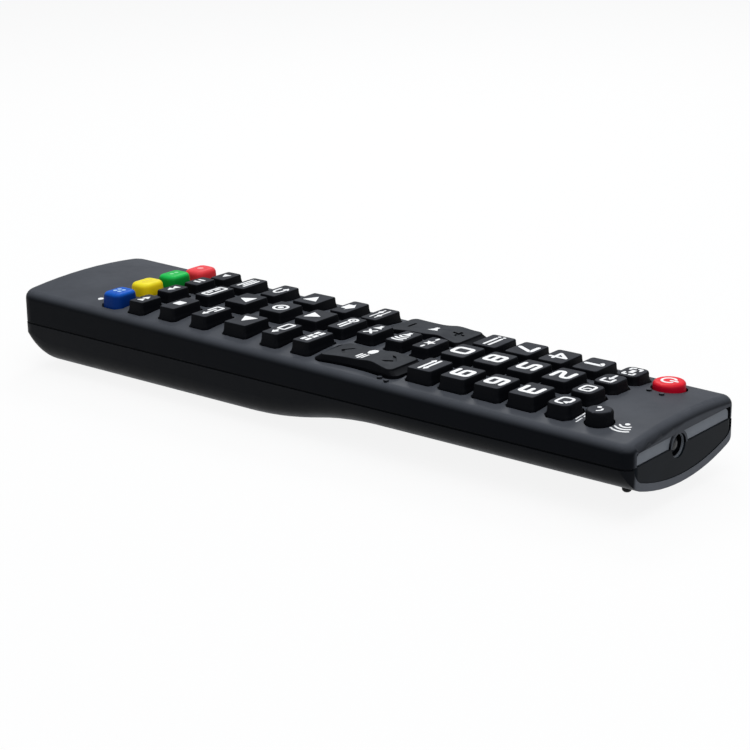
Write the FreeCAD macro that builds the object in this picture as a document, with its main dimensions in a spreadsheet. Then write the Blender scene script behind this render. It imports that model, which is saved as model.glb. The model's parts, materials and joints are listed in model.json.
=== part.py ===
import FreeCAD, Part
import math
import os
import Sketcher

Vector = FreeCAD.Vector
Rotation = FreeCAD.Rotation
Placement = FreeCAD.Placement

# A handheld remote control with a rubber keypad and two cells under a tilting door.
# X runs across the key face, Y towards the infrared end, and Z up, away from the table.
# The seam between the two shells is the working level. The whole model is lifted at the
# end so that the flat of the belly stands at zero height.

# Driving dimensions in millimetres and degrees.
SIZES = {
    # Outline of both shells
    "body_length": 200.0,
    "body_width": 46.0,
    "front_corner": 3.0,
    "tail_corner": 4.2,
    "wall": 1.8,
    "face_thick": 2.6,
    # Key face: its crest above the seam at mid length, its fall to the front, its crown
    "face_high": 8.3,
    "face_slope": 0.0172,
    "crown_radius": 170.0,
    "edge_round": 2.4,
    # Lower shell: deep round back for the cells, slim front, tail rounded upwards
    "belly_deep": 13.6,
    "front_deep": 9.1,
    "belly_radius": 60.0,
    "belly_corner": 6.0,
    "step_start": -16.0,
    "step_end": 26.0,
    "tail_round": 11.0,
    "rest_flat": 0.4,
    "groove_high": 0.5,
    "groove_deep": 0.4,
    # Keypad stack
    "board_thick": 1.2,
    "board_gap": 0.5,
    "board_end_back": 16.0,
    "board_end_front": 10.0,
    "mat_thick": 0.8,
    "mat_inset": 0.6,
    "key_travel": 1.0,
    "key_rise": 2.7,
    "key_gap": 0.35,
    "key_draft": 4.0,
    "key_bevel": 0.5,
    "flange_wide": 0.3,
    "stop_gap": 0.3,
    # Key caps: width across, depth along, corner radius, measured at the foot of the cap
    "digit_width": 10.2,
    "digit_depth": 8.0,
    "digit_corner": 1.3,
    "small_width": 7.9,
    "small_depth": 6.9,
    "small_corner": 2.2,
    "middle_width": 9.8,
    "middle_depth": 6.1,
    "middle_corner": 1.2,
    "wide_width": 11.1,
    "wide_depth": 6.1,
    "wide_corner": 1.2,
    "arrow_width": 9.9,
    "arrow_depth": 8.3,
    "arrow_corner": 1.0,
    "play_width": 8.3,
    "play_depth": 5.8,
    "play_corner": 1.2,
    "colour_width": 8.6,
    "colour_depth": 7.1,
    "colour_corner": 2.4,
    "colour_bevel": 0.8,
    "colour_rise": 3.2,
    "power_width": 8.2,
    "power_rise": 2.4,
    "source_width": 6.4,
    "source_rise": 2.9,
    "source_bevel": 0.7,
    # Rocker keys
    "rocker_width": 12.0,
    "rocker_waist": 10.2,
    "rocker_bow": 60.0,
    "rocker_flange": 0.8,
    "pivot_wide": 1.6,
    "mark_width": 0.7,
    "rocker_length": 26.4,
    "rocker_row": 18.2,
    "rocker_corner": 2.6,
    "rocker_dip": 0.8,
    "rocker_gap": 0.4,
    "rocker_drop": 0.9,
    "rocker_lift": -0.3,
    "mark_deep": 0.25,
    "mark_reach": 7.8,
    "plus_long": 3.4,
    "arrow_long": 2.6,
    # Columns across, and rows along from a line row_zero behind the infrared end
    "row_zero": 100.0,
    "digit_column": 13.0,
    "arrow_column": 13.3,
    "small_column": 4.75,
    "play_column": 5.2,
    "power_column": 15.2,
    "source_column": 14.5,
    "row_power": 86.3,
    "row_small": 76.7,
    "row_digit": 66.7,
    "digit_pitch": 9.9,
    "row_page": 26.9,
    "row_rocker": 18.6,
    "row_mute": 9.3,
    "row_settings": 0.1,
    "row_up": -10.3,
    "row_ok": -22.7,
    "row_down": -35.1,
    "row_stop": -46.6,
    "row_play": -57.3,
    "row_colour": -67.1,
    # Touch dots beside the power key and the right rocker
    "dot_width": 1.3,
    "dot_high": 0.45,
    # Front end: recessed band, window and infrared lamp
    "band_width": 40.5,
    "band_high": 3.1,
    "band_deep": 0.6,
    "lamp_column": 2.6,
    "lamp_width": 5.0,
    "lamp_gap": 0.45,
    "lamp_long": 8.4,
    "lamp_back": 0.8,
    "lamp_rim": 0.7,
    "lead_width": 0.5,
    "lead_pitch": 2.54,
    "lead_lap": 4.0,
    "lead_sunk": 0.2,
    "window_rim": 1.9,
    "window_thick": 1.0,
    "window_inset": 0.15,
    "window_gap": 0.05,
    # Feet under the front corners
    "foot_width": 2.4,
    "foot_stand": 1.3,
    "foot_column": 15.5,
    "foot_end": 5.5,
    "foot_sunk": 0.8,
    # Cells, their contacts and the battery door
    "cell_width": 10.5,
    "cell_long": 43.3,
    "cell_nub_width": 3.8,
    "cell_nub_long": 1.0,
    "cell_gap": 0.3,
    "cell_pitch": 11.4,
    "bay_end": 14.0,
    "bay_long": 48.2,
    "bay_width": 23.4,
    "bay_wall": 1.2,
    "roof_thick": 0.8,
    "contact_thick": 0.4,
    "contact_width": 8.0,
    "spring_strip": 0.3,
    "spring_high": 7.2,
    "spring_width": 5.0,
    "spring_gap": 0.1,
    "cover_width": 31.0,
    "cover_end": 12.0,
    "cover_long": 58.0,
    "cover_thick": 1.5,
    "cover_gap": 0.3,
    "tongue_width": 4.0,
    "tongue_thick": 1.0,
    "tongue_reach": 1.8,
    "tongue_rise": 2.0,
    "tongue_room": 1.0,
    "tongue_column": 8.0,
    "grip_start": 8.0,
    "grip_count": 5.0,
    "grip_pitch": 1.8,
    "grip_width": 12.0,
    "grip_deep": 0.45,
    # Parts on the board
    "chip_width": 7.5,
    "chip_long": 12.8,
    "chip_high": 2.2,
    "chip_foot": 0.3,
    "chip_row": 62.0,
    "leg_count": 10.0,
    "leg_pitch": 1.27,
    "leg_width": 0.5,
    "leg_reach": 1.4,
    "can_width": 5.0,
    "can_long": 9.0,
    "can_row": 80.0,
    "can_column": 9.0,
    "can_drop": 0.1,
    "can_pin_width": 0.5,
    "can_pin_pitch": 2.0,
    "can_pin_reach": 2.2,
    "can_pin_sunk": 0.3,
    # Pockets inside the lower shell, with ribs left between them
    "rib_thick": 1.2,
    "shelf_deep": 2.2,
    "pocket_deep": 5.6,
    "pocket_width": 28.0,
    "side_deep": 6.5,
    "end_wall": 4.0,
}


# Places along the body, each measured from the end that it belongs to
BOARD_BACK = "( board_end_back - body_length / 2 )"
BOARD_FRONT = "( body_length / 2 - board_end_front )"
FOOT_ROW = "( body_length / 2 - foot_end )"
BAY_BACK = "( bay_end - body_length / 2 )"
COVER_BACK = "( cover_end - body_length / 2 )"
COVER_FRONT = "( " + COVER_BACK + " + cover_long )"


def at_row(row):
    """Place of a row along the body: the keypad keeps its distance to the infrared end."""
    return "( body_length / 2 - row_zero + " + row + " )"


def size(name):
    return SIZES[name]


doc = FreeCAD.newDocument("remote_control")
sheet = doc.addObject("Spreadsheet::Sheet", "Sizes")
for row_number, (alias, value) in enumerate(SIZES.items(), start=1):
    sheet.set("A%d" % row_number, alias)
    sheet.set("B%d" % row_number, str(value))
    sheet.setAlias("B%d" % row_number, alias)
doc.recompute()


def cells(formula):
    """Write a formula of size names as an expression on the sheet."""
    words = []
    for word in formula.split():
        words.append("Sizes." + word if word in SIZES else word)
    return " ".join(words)


def worked_out(formula):
    """Work out the same formula as a number, to draw a sketch near its final shape."""
    words = []
    for word in formula.split():
        words.append(repr(SIZES[word]) if word in SIZES else word)
    return FreeCAD.Units.Quantity(" ".join(words)).Value


def bind(thing, path, formula):
    thing.setExpression(path, cells(formula))


def place(thing, across="0", along="0", up="0"):
    """Bind the position of an object to the sheet."""
    bind(thing, "Placement.Base.x", across)
    bind(thing, "Placement.Base.y", along)
    bind(thing, "Placement.Base.z", up)


# Sketches

def new_body(name):
    return doc.addObject("PartDesign::Body", name)


def new_sketch(body, role, offset="0"):
    """Attach a sketch to one of the body's own origin planes."""
    sketch = body.newObject("Sketcher::SketchObject", "Sketch")
    plane = next(item for item in body.Origin.OriginFeatures if item.Role == role)
    sketch.AttachmentSupport = [(plane, "")]
    sketch.MapMode = "FlatFace"
    bind(sketch, "AttachmentOffset.Base.z", offset)
    return sketch


def line(sketch, start, end):
    return sketch.addGeometry(Part.LineSegment(Vector(*start, 0), Vector(*end, 0)), False)


def arc(sketch, centre, radius, first, last):
    """Draw an arc between two angles in degrees, counter-clockwise."""
    ring = Part.Circle(Vector(*centre, 0), Vector(0, 0, 1), radius)
    piece = Part.ArcOfCircle(ring, math.radians(first), math.radians(last))
    return sketch.addGeometry(piece, False)


def join(sketch, kind, first, first_end, second, second_end):
    sketch.addConstraint(Sketcher.Constraint(kind, first, first_end, second, second_end))


def dimension(sketch, name, formula, *constraint):
    """Add a named dimension and bind it to the sheet."""
    index = sketch.addConstraint(Sketcher.Constraint(*constraint, worked_out(formula)))
    sketch.renameConstraint(index, name)
    bind(sketch, "Constraints." + name, formula)


def rounded_rectangle(sketch, width, depth, corner, far_corner=None):
    """Draw a rectangle centred on the origin; far_corner rounds the two ends at +Y."""
    half_wide = worked_out(width) / 2
    half_deep = worked_out(depth) / 2
    near = worked_out(corner)
    far = worked_out(far_corner) if far_corner else near
    lines = [
        line(sketch, (near - half_wide, -half_deep), (half_wide - near, -half_deep)),
        line(sketch, (half_wide, near - half_deep), (half_wide, half_deep - far)),
        line(sketch, (half_wide - far, half_deep), (far - half_wide, half_deep)),
        line(sketch, (-half_wide, half_deep - far), (-half_wide, near - half_deep)),
    ]
    arcs = [
        arc(sketch, (half_wide - near, near - half_deep), near, 270, 360),
        arc(sketch, (half_wide - far, half_deep - far), far, 0, 90),
        arc(sketch, (far - half_wide, half_deep - far), far, 90, 180),
        arc(sketch, (near - half_wide, near - half_deep), near, 180, 270),
    ]
    for number in range(4):
        join(sketch, "Tangent", lines[number], 2, arcs[number], 1)
        join(sketch, "Tangent", arcs[number], 2, lines[(number + 1) % 4], 1)
    for number in (0, 2):
        sketch.addConstraint(Sketcher.Constraint("Horizontal", lines[number]))
        sketch.addConstraint(Sketcher.Constraint("Vertical", lines[number + 1]))
    sketch.addConstraint(Sketcher.Constraint("Equal", arcs[0], arcs[3]))
    sketch.addConstraint(Sketcher.Constraint("Equal", arcs[1], arcs[2]))
    dimension(sketch, "half_wide", width + " / 2", "DistanceX", -1, 1, lines[1], 1)
    dimension(sketch, "wide", width, "DistanceX", lines[3], 1, lines[1], 1)
    dimension(sketch, "half_deep", depth + " / 2", "DistanceY", -1, 1, lines[2], 1)
    dimension(sketch, "deep", depth, "DistanceY", lines[0], 1, lines[2], 1)
    dimension(sketch, "near_corner", corner, "Radius", arcs[0])
    dimension(sketch, "far_corner", far_corner or corner, "Radius", arcs[1])


def rectangle(sketch, width, depth):
    """Draw a square-cornered rectangle centred on the origin."""
    half_wide = worked_out(width) / 2
    half_deep = worked_out(depth) / 2
    corners = [(-half_wide, -half_deep), (half_wide, -half_deep),
               (half_wide, half_deep), (-half_wide, half_deep)]
    sides = [line(sketch, corners[number], corners[(number + 1) % 4]) for number in range(4)]
    for number in range(4):
        join(sketch, "Coincident", sides[number], 2, sides[(number + 1) % 4], 1)
        direction = ("Horizontal", "Vertical")[number % 2]
        sketch.addConstraint(Sketcher.Constraint(direction, sides[number]))
    dimension(sketch, "half_wide", width + " / 2", "DistanceX", -1, 1, sides[1], 1)
    dimension(sketch, "wide", width, "DistanceX", sides[3], 1, sides[1], 1)
    dimension(sketch, "half_deep", depth + " / 2", "DistanceY", -1, 1, sides[2], 1)
    dimension(sketch, "deep", depth, "DistanceY", sides[0], 1, sides[2], 1)


def ring(sketch, width):
    """Draw a circle centred on the origin."""
    circle = Part.Circle(Vector(0, 0, 0), Vector(0, 0, 1), worked_out(width) / 2)
    index = sketch.addGeometry(circle, False)
    join(sketch, "Coincident", index, 3, -1, 1)
    dimension(sketch, "wide", width, "Diameter", index)


# Features

def pad(body, sketch, length):
    feature = body.newObject("PartDesign::Pad", "Pad")
    feature.Profile = sketch
    bind(feature, "Length", length)
    return feature


def pocket_all(body, sketch, both_sides=False):
    """Cut the sketch right through, along its normal or to both sides."""
    feature = body.newObject("PartDesign::Pocket", "Pocket")
    feature.Profile = sketch
    feature.Type = "ThroughAll"
    if both_sides:
        feature.SideType = "Symmetric"
    return feature


def dress_edges(body, feature, kind, amount, chosen):
    """Fillet or chamfer those edges of the feature that the test picks."""
    feature.recompute(True)
    names = []
    for number, edge in enumerate(feature.Shape.Edges, start=1):
        if chosen(edge):
            names.append("Edge%d" % number)
    dressed = body.newObject("PartDesign::" + kind, kind)
    dressed.Base = (feature, names)
    bind(dressed, "Radius" if kind == "Fillet" else "Size", amount)
    return dressed


def box(name, width, depth, height, across, along, up):
    """Make a block centred on across, starting at along and up."""
    block = doc.addObject("Part::Box", name)
    bind(block, "Length", width)
    bind(block, "Width", depth)
    bind(block, "Height", height)
    place(block, "( " + across + " ) - ( " + width + " ) / 2", along, up)
    return block


def rod(name, width, length, across, along, up):
    """Make a cylinder that points along +Y, starting at along."""
    cylinder = doc.addObject("Part::Cylinder", name)
    bind(cylinder, "Radius", "( " + width + " ) / 2")
    bind(cylinder, "Height", length)
    cylinder.Placement = Placement(Vector(), Rotation(Vector(-1, 0, 0), 90))
    place(cylinder, across, along, up)
    return cylinder


def boolean(kind, name, first, second):
    """Cut the second object from the first, or keep what the two share."""
    result = doc.addObject("Part::" + kind, name)
    result.Base = first
    result.Tool = second
    return result


def fuse(name, pieces):
    result = doc.addObject("Part::MultiFuse", name)
    result.Shapes = pieces
    return result


def group(name, pieces):
    result = doc.addObject("Part::Compound", name)
    result.Links = pieces
    return result


# Keys

# The plungers hang one key travel above the rubber mat, so a key can be pressed home.
PLUNGER_LOW = "( board_thick + mat_thick + key_travel + stop_gap )"
MAT_TOP = "( board_thick + mat_thick )"

# The seam plane stands this high above the flat that the remote rests on
LIFT = "( belly_deep - rest_flat )"


def face_at(column, row):
    """Height of the crowned key face above the seam at a column and row."""
    drop = "( " + column + " ) ^ 2 / ( 2 * crown_radius )"
    return "( face_high - face_slope * ( " + row + " ) - " + drop + " )"


def ceiling_at(row):
    """Height of the flat ceiling inside the upper shell above the seam."""
    return "( face_high - face_slope * ( " + row + " ) - face_thick )"


def top_edges(height):
    """Pick the edges that lie at a height above the body's base."""
    level = worked_out(height)

    def chosen(edge):
        return all(abs(corner.Z - level) < 1e-4 for corner in edge.Vertexes)

    return chosen


def rising_edges(low, high):
    """Pick the edges that run from one height to another."""
    ends = sorted((worked_out(low), worked_out(high)))

    def chosen(edge):
        heights = sorted(corner.Z for corner in edge.Vertexes)
        return len(heights) == 2 and all(abs(a - b) < 1e-4 for a, b in zip(heights, ends))

    return chosen


# A round corner is cut in facets that touch its arc: the first cut and the finer second
# cut, as shares of the corner radius.
FIRST_CUT = "0.5858"
SECOND_CUT = "0.2153"


def draft_sides(body, feature, low, angle):
    """Taper the upright sides of a pad inwards from the plane that it stands on."""
    feature.recompute(True)
    level = worked_out(low)
    sides = []
    foot = None
    for number, face in enumerate(feature.Shape.Faces, start=1):
        normal = face.normalAt(0, 0)
        if abs(normal.z) < 1e-6:
            sides.append("Face%d" % number)
        elif abs(face.CenterOfMass.z - level) < 1e-4:
            foot = "Face%d" % number
    tapered = body.newObject("PartDesign::Draft", "Draft")
    tapered.Base = (feature, sides)
    tapered.NeutralPlane = (feature, [foot])
    bind(tapered, "Angle", angle)
    return tapered


def block(body, width, depth, corner, low, high, draft=None, fine=False):
    """Pad a rectangle between two heights, with its corners cut towards a radius."""
    sketch = new_sketch(body, "XY_Plane", low)
    rectangle(sketch, "( " + width + " )", "( " + depth + " )")
    feature = pad(body, sketch, high + " - ( " + low + " )")
    if draft:
        feature = draft_sides(body, feature, low, draft)
    if corner:
        amount = FIRST_CUT + " * ( " + corner + " )"
        feature = dress_edges(body, feature, "Chamfer", amount, rising_edges(low, high))
        if fine:
            amount = SECOND_CUT + " * ( " + corner + " )"
            feature = dress_edges(body, feature, "Chamfer", amount, rising_edges(low, high))
    return feature


def disc(body, width, low, high):
    sketch = new_sketch(body, "XY_Plane", low)
    ring(sketch, "( " + width + " )")
    return pad(body, sketch, high + " - ( " + low + " )")


def key(name, kind, side, column, row, rise="key_rise", bevel="key_bevel"):
    """Build a key: a flange held under the face, and a drafted cap with a bevelled top."""
    body = new_body(name)
    wide = kind + "_width"
    deep = kind + "_depth"
    corner = kind + "_corner"
    shelf = "( " + ceiling_at(row) + " - stop_gap - " + PLUNGER_LOW + " )"
    top = "( " + face_at(column, row) + " + " + rise + " - " + PLUNGER_LOW + " )"
    opening = new_body(name + "_opening")
    if kind in ("power", "source"):
        cap = disc(body, wide, shelf, top)
        disc(opening, wide + " + 2 * key_gap", "0", "face_high + key_rise")
        deep = wide
    else:
        fine = kind in ("small", "colour")
        cap = block(body, wide, deep, corner, shelf, top, "key_draft", fine)
        grow = " + 2 * key_gap"
        block(opening, wide + grow, deep + grow, corner + " + key_gap", "0", "face_high + key_rise")
    dress_edges(body, cap, "Chamfer", bevel, top_edges(top))
    grow = " + 2 * flange_wide + 2 * key_gap"
    block(body, wide + grow, deep + grow, None, "0", shelf)
    place(body, side + " * ( " + column + " )", row, PLUNGER_LOW + " + " + LIFT)
    place(opening, side + " * ( " + column + " )", row, MAT_TOP)
    return body, opening


# Rocker keys

ROCKER_LOW = "( " + MAT_TOP + " + rocker_gap / 2 )"
ROCKER_ROW = at_row("rocker_row")
ROCKER_SHELF = "( " + ceiling_at(at_row("rocker_row + rocker_length / 2")) + " - rocker_drop )"
ROCKER_TOP = "( " + face_at("arrow_column", ROCKER_ROW) + " + key_rise + rocker_lift )"


def waist_cuts(body, grow, offset):
    """Hollow both long sides of the rocker with a shallow round cut."""
    for side in (-1, 1):
        sketch = new_sketch(body, "XY_Plane", offset)
        radius = worked_out("rocker_bow")
        centre = side * worked_out("rocker_waist / 2 + " + grow + " + rocker_bow")
        circle = Part.Circle(Vector(centre, 0, 0), Vector(0, 0, 1), radius)
        index = sketch.addGeometry(circle, False)
        sketch.addConstraint(Sketcher.Constraint("PointOnObject", index, 3, -1))
        dimension(sketch, "bow", "rocker_bow", "Radius", index)
        reach = "rocker_waist / 2 + " + grow + " + rocker_bow"
        if side > 0:
            dimension(sketch, "reach", reach, "DistanceX", -1, 1, index, 3)
        else:
            dimension(sketch, "reach", reach, "DistanceX", index, 3, -1, 1)
        cut = pocket_all(body, sketch)
        cut.Reversed = True


def rocker_block(body, grow, low, high, draft=None):
    wide = "rocker_width + 2 * ( " + grow + " )"
    long = "rocker_length + 2 * ( " + grow + " )"
    block(body, wide, long, "rocker_corner + " + grow, low, high, draft, fine=True)


def bar(name, long, turn, side, along, low):
    """Make one straight bar of a mark, turned about the upright and centred on the rocker."""
    piece = doc.addObject("Part::Box", name)
    bind(piece, "Length", long)
    bind(piece, "Width", "mark_width")
    bind(piece, "Height", "mark_deep + 2")
    piece.Placement = Placement(Vector(), Rotation(Vector(0, 0, 1), turn))
    cosine = "%.5f" % math.cos(math.radians(turn))
    sine = "%.5f" % math.sin(math.radians(turn))
    back = "( " + cosine + " * " + long + " / 2 - " + sine + " * mark_width / 2 )"
    down = "( " + sine + " * " + long + " / 2 + " + cosine + " * mark_width / 2 )"
    place(piece, side + " * arrow_column - " + back, ROCKER_ROW + " + " + along + " - " + down, low)
    return piece


def rocker(name, side, marks):
    """Build a rocker: waisted cap with a saddle top, a flange and a pivot ridge below."""
    body = new_body(name)
    shelf = "( " + ROCKER_SHELF + " - " + ROCKER_LOW + " )"
    top = "( " + ROCKER_TOP + " - " + ROCKER_LOW + " )"
    rocker_block(body, "0", shelf, top, "key_draft")
    waist_cuts(body, "0", shelf)
    saddle = new_sketch(body, "YZ_Plane")
    bow = "( rocker_length ^ 2 / ( 8 * rocker_dip ) )"
    radius = worked_out(bow)
    low = worked_out(top + " - rocker_dip")
    circle = Part.Circle(Vector(0, low + radius, 0), Vector(0, 0, 1), radius)
    index = saddle.addGeometry(circle, False)
    saddle.addConstraint(Sketcher.Constraint("PointOnObject", index, 3, -2))
    dimension(saddle, "bow", bow, "Radius", index)
    dimension(saddle, "centre", top + " - rocker_dip + " + bow, "DistanceY", -1, 1, index, 3)
    pocket_all(body, saddle, both_sides=True)
    wide = "rocker_width + 2 * ( flange_wide + rocker_gap )"
    block(body, wide, "rocker_length * 0.7", None, shelf + " - rocker_flange", shelf)
    block(body, "rocker_waist * 0.6", "pivot_wide", None, "0", shelf)
    place(body, side + " * arrow_column", ROCKER_ROW, ROCKER_LOW + " + " + LIFT)
    fall = "rocker_dip * ( 1 - ( 2 * mark_reach / rocker_length ) ^ 2 )"
    floor = ROCKER_TOP + " + " + LIFT + " - " + fall + " - mark_deep"
    bars = []
    for number, (bar_long, turn, bar_side, along) in enumerate(marks):
        bars.append(bar("%s_bar_%d" % (name, number), bar_long, turn, side, along, floor))
        if bar_side != "0":
            across = side + " * arrow_column + " + bar_side + " * arrow_long * 0.4"
            cosine = "%.5f" % math.cos(math.radians(turn))
            sine = "%.5f" % math.sin(math.radians(turn))
            back = "( " + cosine + " * arrow_long / 2 - " + sine + " * mark_width / 2 )"
            bind(bars[-1], "Placement.Base.x", across + " - " + back)
    marked = boolean("Cut", name + "_marked", body, group(name + "_marks", bars))
    opening = new_body(name + "_opening")
    rocker_block(opening, "rocker_gap", "0", "face_high + key_rise")
    waist_cuts(opening, "rocker_gap", "0")
    place(opening, side + " * arrow_column", ROCKER_ROW, MAT_TOP)
    return marked, opening


# Shells

def plan_outline(sketch, inset, end_inset):
    """Draw the plan of the housing, drawn in by a margin at the sides and the ends."""
    wide = "( body_width - 2 * ( " + inset + " ) )"
    long = "( body_length - 2 * ( " + end_inset + " ) )"
    tail = "( tail_corner - " + inset + " )"
    rounded_rectangle(sketch, wide, long, tail, "( front_corner - ( " + inset + " ) * 0.8 )")


def lid_outside(name):
    """Build the upper shell's outside square to its crown, then tip it to the seam."""
    body = new_body(name)
    plan = new_sketch(body, "XY_Plane", "0 - face_high")
    # The upright ends lean out a little once tipped, so the lid is shorter by that much.
    long = "( body_length - 2 * face_slope * ( face_high - edge_round ) )"
    rounded_rectangle(plan, "body_width", long, "tail_corner", "front_corner")
    pad(body, plan, "face_high * 3")
    crown = new_sketch(body, "XZ_Plane")
    radius = size("crown_radius")
    level = size("face_high")
    reach = size("body_width") / 2 + 4
    sweep = math.degrees(math.asin(reach / radius))
    edge = level - radius + math.sqrt(radius ** 2 - reach ** 2)
    top = level + 20
    roof = arc(crown, (0, level - radius), radius, 90 - sweep, 90 + sweep)
    left = line(crown, (-reach, edge), (-reach, top))
    lid_line = line(crown, (-reach, top), (reach, top))
    right = line(crown, (reach, top), (reach, edge))
    join(crown, "Coincident", roof, 2, left, 1)
    join(crown, "Coincident", left, 2, lid_line, 1)
    join(crown, "Coincident", lid_line, 2, right, 1)
    join(crown, "Coincident", right, 2, roof, 1)
    crown.addConstraint(Sketcher.Constraint("Vertical", left))
    crown.addConstraint(Sketcher.Constraint("Vertical", right))
    crown.addConstraint(Sketcher.Constraint("Horizontal", lid_line))
    crown.addConstraint(Sketcher.Constraint("PointOnObject", roof, 3, -2))
    dimension(crown, "bow", "crown_radius", "Radius", roof)
    dimension(crown, "centre", "crown_radius - face_high", "DistanceY", roof, 3, -1, 1)
    dimension(crown, "reach", "body_width + 8", "DistanceX", lid_line, 1, lid_line, 2)
    dimension(crown, "height", "face_high + 20", "DistanceY", -1, 1, right, 1)
    cut = pocket_all(body, crown, both_sides=True)
    tip = math.degrees(math.atan(size("face_slope")))
    body.Placement = Placement(Vector(), Rotation(Vector(-1, 0, 0), tip))
    bind(body, "Placement.Rotation.Angle", "atan( face_slope )")
    return body, cut


def lid_hollow(name):
    """Build the room inside the upper shell, with a flat ceiling that follows the slope."""
    body = new_body(name)
    plan = new_sketch(body, "XY_Plane", "0 - 1")
    plan_outline(plan, "wall", "wall")
    pad(body, plan, "face_high * 2")
    ceiling = new_sketch(body, "YZ_Plane")
    reach = size("body_length") / 2 + 5
    back = worked_out(ceiling_at("0 - body_length / 2 - 5"))
    front = worked_out(ceiling_at("body_length / 2 + 5"))
    top = size("face_high") * 3
    corners = [(-reach, back), (reach, front), (reach, top), (-reach, top)]
    sides = [line(ceiling, corners[number], corners[(number + 1) % 4]) for number in range(4)]
    for number in range(4):
        join(ceiling, "Coincident", sides[number], 2, sides[(number + 1) % 4], 1)
    ceiling.addConstraint(Sketcher.Constraint("Vertical", sides[1]))
    ceiling.addConstraint(Sketcher.Constraint("Horizontal", sides[2]))
    ceiling.addConstraint(Sketcher.Constraint("Vertical", sides[3]))
    dimension(ceiling, "reach", "body_length / 2 + 5", "DistanceX", -1, 1, sides[1], 1)
    dimension(ceiling, "long", "body_length + 10", "DistanceX", sides[0], 1, sides[0], 2)
    back = ceiling_at("0 - body_length / 2 - 5")
    dimension(ceiling, "back", back, "DistanceY", -1, 1, sides[0], 1)
    front = ceiling_at("body_length / 2 + 5")
    dimension(ceiling, "front", front, "DistanceY", -1, 1, sides[0], 2)
    dimension(ceiling, "top", "face_high * 3", "DistanceY", -1, 1, sides[1], 2)
    pocket_all(body, ceiling, both_sides=True)
    return body


def belly_section(sketch, inset):
    """Draw the lower shell's cross-section: upright sides, round corners, arched base."""
    half = worked_out("body_width / 2 - ( " + inset + " )")
    corner = worked_out("belly_corner - ( " + inset + " )")
    radius = worked_out("belly_radius - ( " + inset + " )")
    centre = worked_out("belly_radius - belly_deep")
    reach = math.sqrt((radius - corner) ** 2 - (half - corner) ** 2)
    lean = math.degrees(math.asin((half - corner) / (radius - corner)))
    low = centre - reach
    top = line(sketch, (half, 0), (-half, 0))
    left = line(sketch, (-half, 0), (-half, low))
    left_arc = arc(sketch, (corner - half, low), corner, 180, 270 - lean)
    base = arc(sketch, (0, centre), radius, 270 - lean, 270 + lean)
    right_arc = arc(sketch, (half - corner, low), corner, 270 + lean, 360)
    right = line(sketch, (half, low), (half, 0))
    join(sketch, "Coincident", top, 2, left, 1)
    join(sketch, "Coincident", right, 2, top, 1)
    join(sketch, "Tangent", left, 2, left_arc, 1)
    join(sketch, "Tangent", left_arc, 2, base, 1)
    join(sketch, "Tangent", base, 2, right_arc, 1)
    join(sketch, "Tangent", right_arc, 2, right, 1)
    sketch.addConstraint(Sketcher.Constraint("Horizontal", top))
    sketch.addConstraint(Sketcher.Constraint("Vertical", left))
    sketch.addConstraint(Sketcher.Constraint("Vertical", right))
    sketch.addConstraint(Sketcher.Constraint("Equal", left_arc, right_arc))
    sketch.addConstraint(Sketcher.Constraint("PointOnObject", base, 3, -2))
    sketch.addConstraint(Sketcher.Constraint("PointOnObject", top, 1, -1))
    half_wide = "body_width / 2 - ( " + inset + " )"
    dimension(sketch, "half_wide", half_wide, "DistanceX", -1, 1, top, 1)
    dimension(sketch, "corner", "belly_corner - ( " + inset + " )", "Radius", left_arc)
    dimension(sketch, "bow", "belly_radius - ( " + inset + " )", "Radius", base)
    dimension(sketch, "centre", "belly_radius - belly_deep", "DistanceY", -1, 1, base, 3)


# The tail arc stops short of upright, so the swept section never folds onto itself.
TAIL_REACH = "0.96"
TAIL_LIFT = "0.72"


def belly_spine(sketch, inset):
    """Draw the line that the section follows: up round the tail, level, a step, level."""
    radius = worked_out("tail_round - ( " + inset + " )")
    centre = worked_out(TAIL_REACH + " * tail_round - body_length / 2")
    front = size("body_length") / 2 + 5
    start = worked_out(at_row("step_start"))
    end = worked_out(at_row("step_end"))
    rise = size("belly_deep") - size("front_deep")
    run = end - start
    step_radius = (run ** 2 / 4 + rise ** 2 / 4) / rise
    bend = math.degrees(2 * math.atan(rise / run))
    tail_angle = 180 + math.degrees(math.acos(float(TAIL_REACH)))
    tail = arc(sketch, (centre, radius), radius, tail_angle, 270)
    first = line(sketch, (centre, 0), (start, 0))
    lower = arc(sketch, (start, step_radius), step_radius, 270, 270 + bend)
    upper = arc(sketch, (end, rise - step_radius), step_radius, 90, 90 + bend)
    last = line(sketch, (end, rise), (front, rise))
    join(sketch, "Tangent", tail, 2, first, 1)
    join(sketch, "Tangent", first, 2, lower, 1)
    join(sketch, "Tangent", lower, 2, upper, 2)
    join(sketch, "Tangent", upper, 1, last, 1)
    sketch.addConstraint(Sketcher.Constraint("Horizontal", last))
    sketch.addConstraint(Sketcher.Constraint("Equal", lower, upper))
    sketch.addConstraint(Sketcher.Constraint("PointOnObject", first, 1, -1))
    sketch.addConstraint(Sketcher.Constraint("PointOnObject", first, 2, -1))
    tail_centre = "body_length / 2 - " + TAIL_REACH + " * tail_round"
    dimension(sketch, "tail_centre", tail_centre, "DistanceX", tail, 3, -1, 1)
    dimension(sketch, "tail_bow", "tail_round - ( " + inset + " )", "Radius", tail)
    tail_end = "body_length / 2 - " + TAIL_REACH + " * ( " + inset + " )"
    dimension(sketch, "tail_end", tail_end, "DistanceX", tail, 1, -1, 1)
    dimension(sketch, "front", "body_length / 2 + 5", "DistanceX", -1, 1, last, 2)
    dimension(sketch, "start", "0 - " + at_row("step_start"), "DistanceX", first, 2, -1, 1)
    dimension(sketch, "end", at_row("step_end"), "DistanceX", -1, 1, last, 1)
    dimension(sketch, "rise", "belly_deep - front_deep", "DistanceY", -1, 1, last, 1)


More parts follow.
